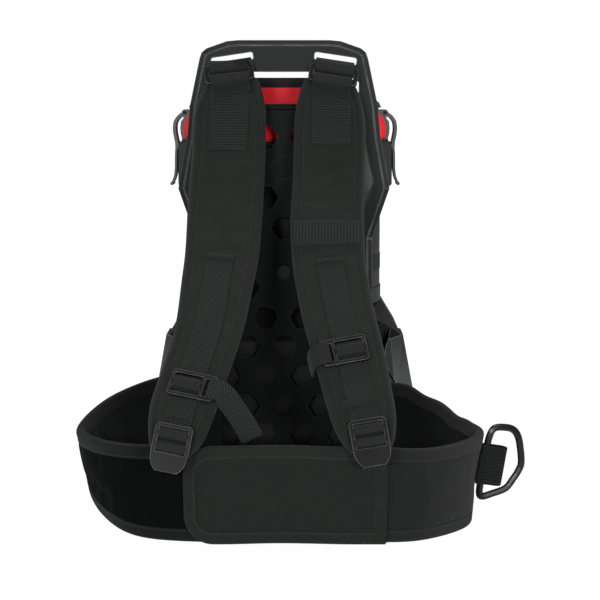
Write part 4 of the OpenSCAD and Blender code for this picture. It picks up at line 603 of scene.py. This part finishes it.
# At s along a pad: point on its middle line, direction across, direction out, half thickness, half width.
def strapFrame(side, s):
    s = np.asarray(s, float)
    name = "left" if side < 0 else "right"
    line = worldPoints(strapSet[name])
    ahead = curveAhead(line, s)
    level = unitRows(np.array([1.0, 0, 0]) - ahead * ahead[..., :1])
    turn = np.radians(strapSet["tilt"] * np.clip(1.15 - s / 2.5, 0, 1))[..., None]
    lat = level * np.cos(turn) + ahead * side * np.sin(turn)
    thin = np.minimum(1, np.minimum(0.45 + 0.55 * s / 1.5, 0.6 + 0.4 * (strapEnd - s) / 0.5))
    width = smoothCurve(np.asarray(strapSet[name + "Width"], float), s) / 2
    return smoothCurve(line, s), lat, unitRows(np.cross(ahead, lat)), strapSet["thick"] / 2 * thin, width

# Points u across a pad and h out of its front face, with the directions out and across.
def onStrap(side, s, u, h):
    p, lat, normal, half, _ = strapFrame(side, s)
    return p + lat * np.asarray(u, float)[..., None] + normal * (half + h)[..., None], normal, lat

# Flat frame of a buckle on the pad, on the straight facet between two half steps: origin, across, in, up.
def strapAxes(side, s, u=0.0):
    def facet(s):
        a = math.floor(2 * s) / 2
        fa, fb = strapFrame(side, a), strapFrame(side, min(strapEnd, a + 0.5))
        return [x * (1 - 2 * (s - a)) + y * 2 * (s - a) for x, y in zip(fa[:4], fb[:4])]
    f, a, b = facet(s), facet(max(0, s - 0.3)), facet(min(strapEnd, s + 0.3))
    lat = unitRows(f[1])
    along = a[0] + a[2] * a[3] - b[0] - b[2] * b[3]
    up = unitRows(along - lat * (along * lat).sum())
    return f[0] + lat * u + f[2] * f[3], lat, np.cross(up, lat), up

# Foam pad: a flat oval section carried down the strap, whose half thickness is a quarter circle from the edge, less a
# bell-shaped groove at the seam and a shallow wave inside it.
def padPiece(side, name):
    s = strapEnd * np.linspace(0, 1, padSet["rows"])
    p, lat, normal, half, width = strapFrame(side, s)
    half = half[:, None]
    q = np.linspace(-1, 1, padSet["columns"])
    q = np.sign(q) * (1 - (1 - np.abs(q)) ** padSet["crowd"])  # closer together at the edges
    close = quarterRound(np.minimum(s + 0.02, strapEnd + 0.02 - s), padSet["endRound"], 0.02)
    w = (width - padSet["narrow"] * (1 - close))[:, None]
    across = q[None, :] * w
    gap = w - np.abs(across)  # distance from the nearest edge
    groove = padSet["groove"] * np.exp(-((gap - padSet["seam"]) / padSet["grooveWide"]) ** 2)
    tape = padSet["tape"] * (1 - np.clip((gap - padSet["seam"]) / 5, 0, 1))
    wave = padSet["wave"] * np.sin(s * 5 + side)[:, None] * np.cos(across / 9) * (gap > 10)
    h = half * close[:, None] * quarterRound(gap, padSet["round"]) * (1 - tape) - groove * (half > 3)
    h = np.maximum(h + np.where(gap > 12, wave - padSet["wave"], 0), padSet["thinnest"])[..., None]
    middle = p[:, None] + lat[:, None] * across[..., None]
    front, back = middle + normal[:, None] * h, middle - normal[:, None] * (h * padSet["back"])
    edge = np.concatenate([gap, gap[:, ::-1]], 1) < padSet["seam"]
    marks = (edge[:-1] & np.roll(edge, -1, axis=1)[:-1]).astype(np.int32)
    piece = shellMesh(name, front, back, across, runLength(p), material=padCloth, second=(tapeCloth, marks),
        slot="pad_cloth")
    t, u = s[:, None], np.abs(across)
    held = (gap < 11) | (t < 1.0) | (t > 11.4)
    held |= (t < webSet["patchEnd"][side] + 0.1) & (u < 22)
    held |= (t > webSet["long"][side] - 0.1) & (u < 15)
    held |= (np.abs(t - webSet["chest"][side]) < 0.6) & (u < 20)
    held |= (side > 0) & (t > 4.0) & (t < 4.9)
    puffUp(piece, np.concatenate([held, np.ones_like(held)], 1), *padSet["cloth"])
    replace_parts(piece, "shoulder_" + name)

for side, word in sides:
    padPiece(side, "pad_" + word)
    s = np.linspace(0.3, strapEnd - 0.3, 260)
    for edge in (-1, 1):
        inner = edge * (strapFrame(side, s)[4] - padSet["seam"])
        line, normal, _ = onStrap(side, s, inner, -padSet["stitchLow"])
        stitchRow("pad_seam_%s_%d" % (word, (edge + 1) // 2), line, normal, "pad_cloth")
    print("pad", word)

grow = strapSet["gap"] + strapSet["web"] / 2  # a webbing's middle above what it lies on
buckleBack = -(2 * strapSet["gap"] + strapSet["web"])
overBuckle = buckleBack - strapSet["buckle"] - grow
rollBack = buckleBack - strapSet["gap"] - strapSet["web"]
overRoll = rollBack - strapSet["buckle"] - grow
glide = {"s": 0.35, "up": 8.5, "high": 21, "bar": 7, "offset": {-1: -0.7, 1: 1.2}, "clear": 1.5, "tail": 12,
    "slotX": 51, "slotZ": 483.8, "slotHigh": 7.6, "slotLong": 42, "windowTop": 471, "frameDepth": 12, "width": 38}
buckleSet = {"lockBars": (11.0, 0.0), "lockHigh": 4.4, "chestHigh": 7.0, "chestSide": (25.5, -24.5), "tie": 21}

# Webbing that lies on a pad from s0 to s1 and from u0 to u1 across, its back h out of the pad's face.
def padWeb(side, s0, s1, u0, u1, h, thick, name, material):
    s = np.linspace(s0, s1, 60)
    line, _, lat = onStrap(side, s, (u0 + u1) / 2, h + thick / 2)
    return ribbonPiece(name, line, lat, u1 - u0, material, cut=1.0, thick=thick)

# Points in the plane of a buckle's frame f, at [in, up].
def inPlane(f, plan):
    plan = np.asarray(plan, float)
    return f[0] + f[2] * plan[:, :1] + f[3] * plan[:, 1:]

# Webbing sewn round a buckle's bar: the strip's middle line is the bar's section grown by the gap and half a strip.
def barRoll(name, side, s, z, high):
    f = strapAxes(side, s)
    w, h = strapSet["buckle"] / 2 + grow, high / 2 + grow
    plan = np.array([[w, 0.1], [w, h], [-w, h], [-w, -h], [w, -h], [w, -0.1]])
    return ribbonPiece(name, inPlane(f, plan + [rollBack - strapSet["buckle"] / 2, z]), f[1],
        2 * webSet["half"], webSmooth, cut=2.2, pitch=0.7)

anchors = []
tilt = math.radians(strapSet["tilt"])
for side, word in sides:
    shift = glide["offset"][side]
    origin, lat, inward, upward = strapAxes(side, glide["s"], shift)
    bar, second = glide["bar"] + glide["clear"], -grow - strapSet["web"] - strapSet["gap"]
    foot = origin + upward * (glide["up"] - glide["high"] / 2)
    head = origin + upward * (glide["up"] + glide["high"] / 2)
    turned = [[-grow, -glide["tail"]], [-grow, bar], [overBuckle, bar], [overBuckle, -glide["clear"]],
        [second, -1.9], [second, -glide["tail"]]]
    ribbonPiece("top_webbing_roll_" + word, inPlane((foot, lat, inward, upward), turned), lat, glide["width"],
        webSmooth, cut=1.8, pitch=0.8)
    low = inPlane((head, lat, inward, upward), [[-grow, 1], [-grow, -bar], [overBuckle, -bar], [overBuckle, 1.4]])
    front, back = face - grow, face + glide["frameDepth"] + grow
    under = glide["windowTop"] - glide["slotZ"] + 0.3 - grow - glide["slotLong"] * 0.08
    rest = grow - glide["slotHigh"] / 2
    high = np.array([[face - 0.3, rest + 0.2], [front + 4, rest + 0.1], [back, rest], [back, under],
        [front + 1, under]])
    high = np.stack([side * (glide["slotX"] + math.sin(tilt) * high[:, 1]), high[:, 0],
        glide["slotZ"] + math.cos(tilt) * high[:, 1]], 1)
    sideways = np.concatenate([np.repeat(lat[None], len(low), 0),
        np.repeat([[math.cos(tilt), 0, -side * math.sin(tilt)]], len(high), 0)])
    loop = ribbonPiece("top_webbing_loop_" + word, np.concatenate([low, high]), sideways, glide["width"],
        webSmooth, cut=1.5, pitch=0.8)
    padWeb(side, webSet["patch"], webSet["patchEnd"][side], shift - webSet["patchHalf"], shift + webSet["patchHalf"],
        0.3, 2, "top_webbing_patch_" + word, webRibbed)
    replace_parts(loop, "top_webbing_" + word)
    start, half = webSet["long"][side], webSet["half"]
    long = padWeb(side, start, webSet["lock"] - 0.5, -half, half, 0.4, 1.8, "strap_webbing_long_" + word, webTwill)
    padWeb(side, start, start + 0.12, -half, half, 2.4, 1.3, "hem_" + word, webTwill)  # turned end, sewn down
    barRoll("lock_roll_" + word, side, webSet["lock"], buckleSet["lockBars"][0], buckleSet["lockHigh"])
    barRoll("chest_roll_" + word, side, webSet["chest"][side], 0, buckleSet["chestHigh"])
    anchors.append(barRoll("anchor_roll_" + word, side, webSet["lock"], buckleSet["lockBars"][1],
        buckleSet["lockHigh"]))
    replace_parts(long, "strap_webbing_" + word)

padWeb(1, 10.28, 10.62, -19, 14, 2.4, 1.2, "tack_tape_right", tapeCloth)
padWeb(1, 11.1, 11.35, -12.5, 12.5, 2.4, 1.4, "fold_right", webTwill)
padWeb(-1, 10.3, 10.7, -12.5, 12.5, 2.4, 1.4, "fold_left", webTwill)
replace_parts(padWeb(1, *webSet["keeper"], -32, 30, 0.3, 1.6, "keeper", elastic), "strap_keeper")
print("straps done")

# hip belt

beltSet = {
    "top": [[-62, 9, 166], [-92, 11, 173], [-130, 25, 170], [-172, 55, 156], [-195, 95, 138], [-182, 140, 135],
        [-140, 175, 135], [-70, 196, 139], [0, 200, 141], [70, 197, 138], [130, 180, 132], [172, 145, 132],
        [190, 100, 133.5], [175, 60, 138], [135, 27, 158], [92, 11, 169], [62, 9, 164]],
    "bottom": [[-62, 9, 60], [-90, 11, 60], [-125, 25, 64], [-162, 55, 72], [-184, 93, 78], [-169, 135, 61],
        [-134, 171, 50], [-70, 192, 50], [0, 196, 52], [70, 193, 50], [126, 176, 47], [171, 132, 47],
        [177, 98, 52], [166, 60, 56], [131, 27, 60], [90, 11, 60], [62, 9, 60]],
    "leftEnd": 7.7, "rightFrom": 9.15, "ring": 12.1, "slack": 1.3, "seam": 10.2, "pitch": 2.5}
beltTop, beltBottom = worldPoints(beltSet["top"]), worldPoints(beltSet["bottom"])
beltEnd = len(beltTop) - 1
wingSet = {"columns": 48, "middle": 4, "half": 3.4, "round": 3.2, "endRound": 3, "margin": 1.0, "held": 11,
    "cloth": (2.0, 0.003, 0.02, 0.6)}  # pressure, cap, ease, fill
flapSet = {"from": 6.76, "to": 9.36, "corner": 26.0, "thick": 5.0, "seam": 9.6, "rows": 170, "columns": 46,
    "middle": 2.7, "cloth": (1.2, 0.0015, 0.01, 0.4)}
tapeSet = {"reach": 12.0, "lift": 0.45, "flapReach": 11.5, "flapLift": 0.35, "crease": 50}

# At s along the belt: lower edge, direction up, direction out, height. The right wing's upper edge is a slack sine.
def beltFrame(s):
    s = np.asarray(s, float)
    a, b = smoothCurve(beltBottom, s), smoothCurve(beltTop, s)
    slack = np.clip((s - 12.6) / 0.5, 0, 1) * np.clip((15.6 - s) / 0.5, 0, 1)
    b = b + np.array([0, 0, beltSet["slack"]]) * (slack * np.sin(8.5 * s))[..., None]
    up = unitRows(b - a)
    return a, up, unitRows(np.cross(curveAhead(beltBottom, s), up)), np.linalg.norm(b - a, axis=-1)

beltSteps = np.linspace(0, beltEnd, 1601)
beltRun = runLength((smoothCurve(beltTop, beltSteps) + smoothCurve(beltBottom, beltSteps)) / 2)

# Distance along the belt's middle line at the station s, and the other way round.
def runAt(s):
    return np.interp(s, beltSteps, beltRun)

def stationAt(x):
    return np.interp(x, beltRun, beltSteps)

def beltHeight(x):
    return beltFrame(stationAt(x))[3]

# Distances from station s0 to s1 in steps of about the belt's pitch.
def beltRows(s0, s1):
    return np.linspace(runAt(s0), runAt(s1), int((runAt(s1) - runAt(s0)) / beltSet["pitch"]))

# Points at the distance x along the belt, y from its lower or its top edge and h out of its face.
def onBelt(x, y, h, top=False):
    a, up, out, height = beltFrame(stationAt(x))
    y = np.asarray(height - y if top else y, float)
    return a + up * y[..., None] + out * np.asarray(h, float)[..., None], out

# Padded band between the belt's edges: its half thickness is a quarter circle from each edge and from each end, with
# shallow sine swells, and its outer face rises inside the tapes.
def wingPiece(name, s0, s1, outer, inner, slot):
    x = beltRows(s0, s1)
    s = stationAt(x)
    a, up, out, height = (v[:, None] for v in beltFrame(s))
    gap = np.minimum(x - x[0], x[-1] - x)[:, None]
    end = quarterRound(gap + 0.1, wingSet["endRound"], 0.01)
    margin, columns = wingSet["margin"], wingSet["columns"]
    y = margin + np.linspace(0, 1, columns)[None, :] * (height - 2 * margin)
    edge = np.minimum(y - margin, height - margin - y)
    soft = 0.35 * np.sin(x / 23)[:, None] * np.sin(y / 19 + x[:, None] / 40) * np.minimum(1, edge / 18)
    half = wingSet["half"] * end * quarterRound(edge, wingSet["round"])
    outside = -wingSet["middle"] + half + soft * 0.7 - 0.3 + 0.8 * np.clip((edge - 9.5) / 3, 0, 1) * end
    inside = -wingSet["middle"] - half + soft
    front, back = (a + up * y[..., None] + out * h[..., None] for h in (outside, inside))
    marks = np.zeros((len(x) - 1, 2 * columns), np.int32)
    marks[:, columns:] = 1
    piece = shellMesh(name, front, back, y, x, material=outer, second=(inner, marks), slot=slot)
    rim, t = (edge < wingSet["held"]) | (gap < 6), s[:, None]
    held = rim | ((t > 6.6) & (t < 9.6)) | (np.abs(t - beltSet["ring"]) < 0.25)
    puffUp(piece, np.concatenate([held, rim[:, ::-1]], 1), *wingSet["cloth"])
    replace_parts(piece, "belt_" + name)

def tapeMesh(name, rings, across, along, cloth):
    tubeMesh(name, rings, across, along, material=cloth, slot="belt_cloth", crease=tapeSet["crease"])

# Edge binding: a U of tape over the top or the lower edge, carried along the belt.
def tapePiece(name, s0, s1, top, cloth):
    x, r = beltRows(s0, s1), tapeSet["reach"]
    section, across = tapeSection([[r, 0], [r * 0.5, 0.15], [2.2, 0.2], [0.4, -1.3], [-0.2, -4], [0.4, -6.7],
        [2.2, -8.2], [r * 0.5, -8.1], [r, -7.9]], 1.4, 5, tapeSet["lift"], 2 * r)
    wide, low, h = np.broadcast_arrays(x[:, None], section[:, 0], section[:, 1])
    rings = onBelt(wide, low, h, top)[0]
    tapeMesh(name, rings, across, x, cloth)

wingPiece("wing_left", 0, beltSet["leftEnd"], velour, lining, "loop_cloth")
wingPiece("wing_right", beltSet["rightFrom"], beltEnd, beltCloth, lining, "belt_cloth")
for name, s0, s1, cloth in (("left", 0.02, 6.95, darkTape), ("right", 9.4, beltEnd - 0.02, tapeCloth)):
    for top, word in ((True, "top"), (False, "low")):
        tapePiece("belt_tape_%s_%s" % (name, word), s0, s1, top, cloth)
        line, normal = onBelt(np.linspace(runAt(s0), runAt(s1), 300), beltSet["seam"], tapeSet["lift"], top)
        stitchRow("belt_seam_%s_%s" % (name, word), line, normal, "belt_cloth")

# Edge of the flap at a distance inside it, as [along, up]: along the top to the free end, round a quarter circle,
# down, round the other one and back.
def flapOutline(inset, steps=14):
    x0, x1, r = runAt(flapSet["from"]), runAt(flapSet["to"]), flapSet["corner"]
    a = np.linspace(0, np.pi / 2, steps)
    run = np.linspace(x1, x0 + r, 90)[:-1]
    turnX, turnY = x0 + r - (r - inset) * np.sin(a), r - (r - inset) * np.cos(a)
    down = np.linspace(0, 1, 30)[1:-1]
    x = np.concatenate([run, turnX, np.full_like(down, x0 + inset), turnX[::-1], run[::-1]])
    y = np.concatenate([beltHeight(run) - inset, beltHeight(turnX) - turnY,
        beltHeight(x0 + inset) - r - down * (beltHeight(x0) - 2 * r), turnY[::-1], np.full_like(run, inset)])
    return np.stack([x, y], 1)

def onFlap(xy, h):
    return onBelt(xy[..., 0], xy[..., 1], h)

# Flap body: a panel with two round corners, whose faces rise in a quarter circle from its edges, with sine swells.
def flapPiece():
    x0, x1, r = runAt(flapSet["from"]), runAt(flapSet["to"]), flapSet["corner"]
    x = x0 + 1 + (x1 - x0 - 1) * np.linspace(0, 1, flapSet["rows"]) ** 1.25
    d = np.clip(r - (x - x0), 0, r)
    inset = (r - np.sqrt(np.clip(r * r - d * d, 0, None)) + 1)[:, None]
    height = beltHeight(x)[:, None]
    y = inset + np.linspace(0, 1, flapSet["columns"])[None, :] * (height - 2 * inset)
    edge = np.minimum(np.minimum(y - inset, height - inset - y), (x - x0)[:, None])
    rise = quarterRound(edge, 2.5, 0.02)
    soft = 0.3 * np.sin(x / 31)[:, None] * np.sin(y / 17 + 1) * np.clip(edge / 20, 0, 1)
    xy = np.stack([np.broadcast_to(x[:, None], y.shape), y], -1)
    front = onFlap(xy, flapSet["middle"] + 1.9 * rise + soft)[0]
    back = onFlap(xy, flapSet["middle"] - 2.0 * rise)[0]
    piece = shellMesh("flap", front, back, y, x, material=beltCloth, slot="belt_cloth")
    held = (edge < wingSet["held"]) | (x > x1 - 8)[:, None]
    puffUp(piece, np.concatenate([held, np.ones_like(held)], 1), *flapSet["cloth"])
    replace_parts(piece, "belt_flap")

# Binding round the flap: the same U of tape, its section carried round the outline.
def flapTape():
    r = tapeSet["flapReach"]
    section, across = tapeSection([[r, 5.0], [6, 5.05], [1.6, 5.0], [0.1, 4.0], [-0.3, 2.6], [0.1, 1.3], [1.6, 0.65],
        [r, 0.65]], 1.0, 4, tapeSet["flapLift"], 24)
    lines = np.stack([flapOutline(inset) for inset in section[:, 0]], 1)
    rings, _ = onFlap(lines, np.broadcast_to(section[:, 1], lines.shape[:2]))
    tapeMesh("flap_tape", rings, across, runLength(lines[:, 0]), tapeCloth)

# Tape over the seam between flap and right wing: its face is a shallow parabola across.
def seamTape():
    x = runAt(flapSet["to"])
    across = np.linspace(-12.0, 0.5, 9)
    y = np.linspace(1.5, beltFrame(flapSet["to"])[3] - 1.5, 60)
    wide, tall = np.meshgrid(x + across, y, indexing="ij")
    top = onBelt(wide, tall, 5.75 - 0.012 * (wide - x + 5.75) ** 2)[0]
    low = onBelt(wide, tall, 4.4)[0]
    rings = np.concatenate([top, low[::-1]]).transpose(1, 0, 2)
    tapeMesh("seam_tape", rings, np.concatenate([across, across[::-1], across[:1]]), y, tapeCloth)

flapPiece()
flapTape()
line, normal = onFlap(flapOutline(flapSet["seam"]), 5.4)
stitchRow("flap_seam", line, normal, "belt_cloth")
seamTape()
print("belt done")

# lumbar pad

lumbarSet = {"place": (0, 76), "half": (59.5, 20), "power": 4.5, "bulge": 3.6, "sink": 4.4, "around": 96, "rings": 16,
    "cloth": (2.0, 0.002, 0.02, 0.8)}  # pressure, cap, ease, fill

# Crowned cushion: rings of a superellipse, whose half thickness is bulge times the root of 1 - k to the fifth, where
# k is the share of the way out.
def lumbarPad():
    a = np.linspace(0, 2 * np.pi, lumbarSet["around"] + 1)[:-1]
    ring = np.stack([np.sign(v) * np.abs(v) ** (2 / lumbarSet["power"]) * half
        for v, half in zip((np.cos(a), np.sin(a)), lumbarSet["half"])], 1)
    k = np.linspace(0.02, 1, lumbarSet["rings"])[:, None]
    front = np.stack(np.broadcast_arrays(ring[:, 0] * k, ring[:, 1] * k, -(1 - k ** 5) ** 0.5 * lumbarSet["bulge"]), -1)
    rings = np.concatenate([front, front[-2::-1] * [1, 1, -1]])
    points = np.stack([lumbarSet["place"][0] + rings[..., 0], face - lumbarSet["sink"] + rings[..., 2],
        lumbarSet["place"][1] + rings[..., 1]], -1)
    maps = np.concatenate([rings[..., :2], rings[:, :1, :2]], 1)
    piece = tubeMesh("lumbar_cushion", points, maps[..., 0], maps[..., 1], material=padCloth, slot="pad_cloth")
    held = np.zeros(points.shape[:2], bool)
    held[lumbarSet["rings"] - 2:] = True
    puffUp(piece, held, *lumbarSet["cloth"])
    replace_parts(piece, "lumbar_pad")

lumbarPad()

# webbings of the belt, chest and ring

for side, s, word in ((-1, 6.54, "left"), (1, beltSet["rightFrom"], "right")):
    root, up, out, height = beltFrame(np.array(s))
    foot = root + up * (height - 12) + out * (grow + 1.2 + (0 if side < 0 else flapSet["thick"] + 0.3))
    end, lat, normal, _, _ = strapFrame(side, float(strapEnd))
    low = inPlane((end, lat, normal, unitRows(np.cross(lat, normal))), [[9.2, -7], [6, 0.2], [3.4, 2.5], [-4.4, 2.6]])
    ribbonPiece("anchor_tie_" + word, np.concatenate([low, [foot, foot - up * 5]]),
        np.array([lat] * 4 + [np.cross(up, out)] * 2), buckleSet["tie"], webTwill, cut=1.2)
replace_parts(anchors[0], "anchor_webbing")

starts = []
for side, shift in zip((-1, 1), buckleSet["chestSide"]):
    f = strapAxes(side, webSet["chest"][side], shift)
    starts.append((f[0] + f[2] * overRoll, *f[1:]))
start, lat, inward, upward = starts[0]
tail = ribbonPiece(
    "chest_tail", np.array([start - lat * 6, start, start + lat * 7 + inward * 2, start + [13, 3, -13],
        start + [25, 6, -31], start + [33, 8, -47]]),
    np.array([upward, upward, upward, [0.45, -0.2, 1], [0.6, -0.2, 1], [0.7, -0.2, 1]]), buckleSet["tie"],
    webTwill, cut=6)
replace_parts(tail, "chest_webbing")
start, lat, inward, upward = starts[1]
ribbonPiece("chest_loop", np.array([start + lat * 6, start, start - lat * 6 + inward * 2, start - lat * 11 + inward * 9,
    start - lat * 12 + inward * 22]), upward, buckleSet["tie"], webSmooth, cut=5)

ringSet = {"up": 49, "bar": 3.5, "reach": 27, "width": 38}

# Loop of webbing round the tool ring's upright bar: a flat U with a rounded end, in the plane square to the belt.
def ringWebbing():
    root, up, out, _ = beltFrame(np.array(beltSet["ring"]))
    leg, reach = ringSet["bar"] + grow, ringSet["reach"] - 1
    half = [[0.5, -leg - 2], [3, -leg], [reach - 5, -leg], [reach - 1.4, -leg * 0.6]]
    plan = half + [[reach, 0]] + [[x, -y] for x, y in half[::-1]]
    corners = inPlane((root + up * ringSet["up"], None, out, np.cross(up, out)), plan)
    piece = ribbonPiece("ring_loop", corners, up, ringSet["width"], ringCloth, cut=1.6, pitch=0.8)
    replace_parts(piece, "ring_webbing")

ringWebbing()
print("webbing done")

half, z = floorSet["half"], floorSet["z"]
floorMesh = bpy.data.meshes.new("floor")
floorMesh.from_pydata([(-half, -half, z), (half, -half, z), (half, half, z), (-half, half, z)], [], [(0, 1, 2, 3)])
floor = newObject("floor", floorMesh)
floorMesh.materials.append(stageMaterial())

print("scene ready")
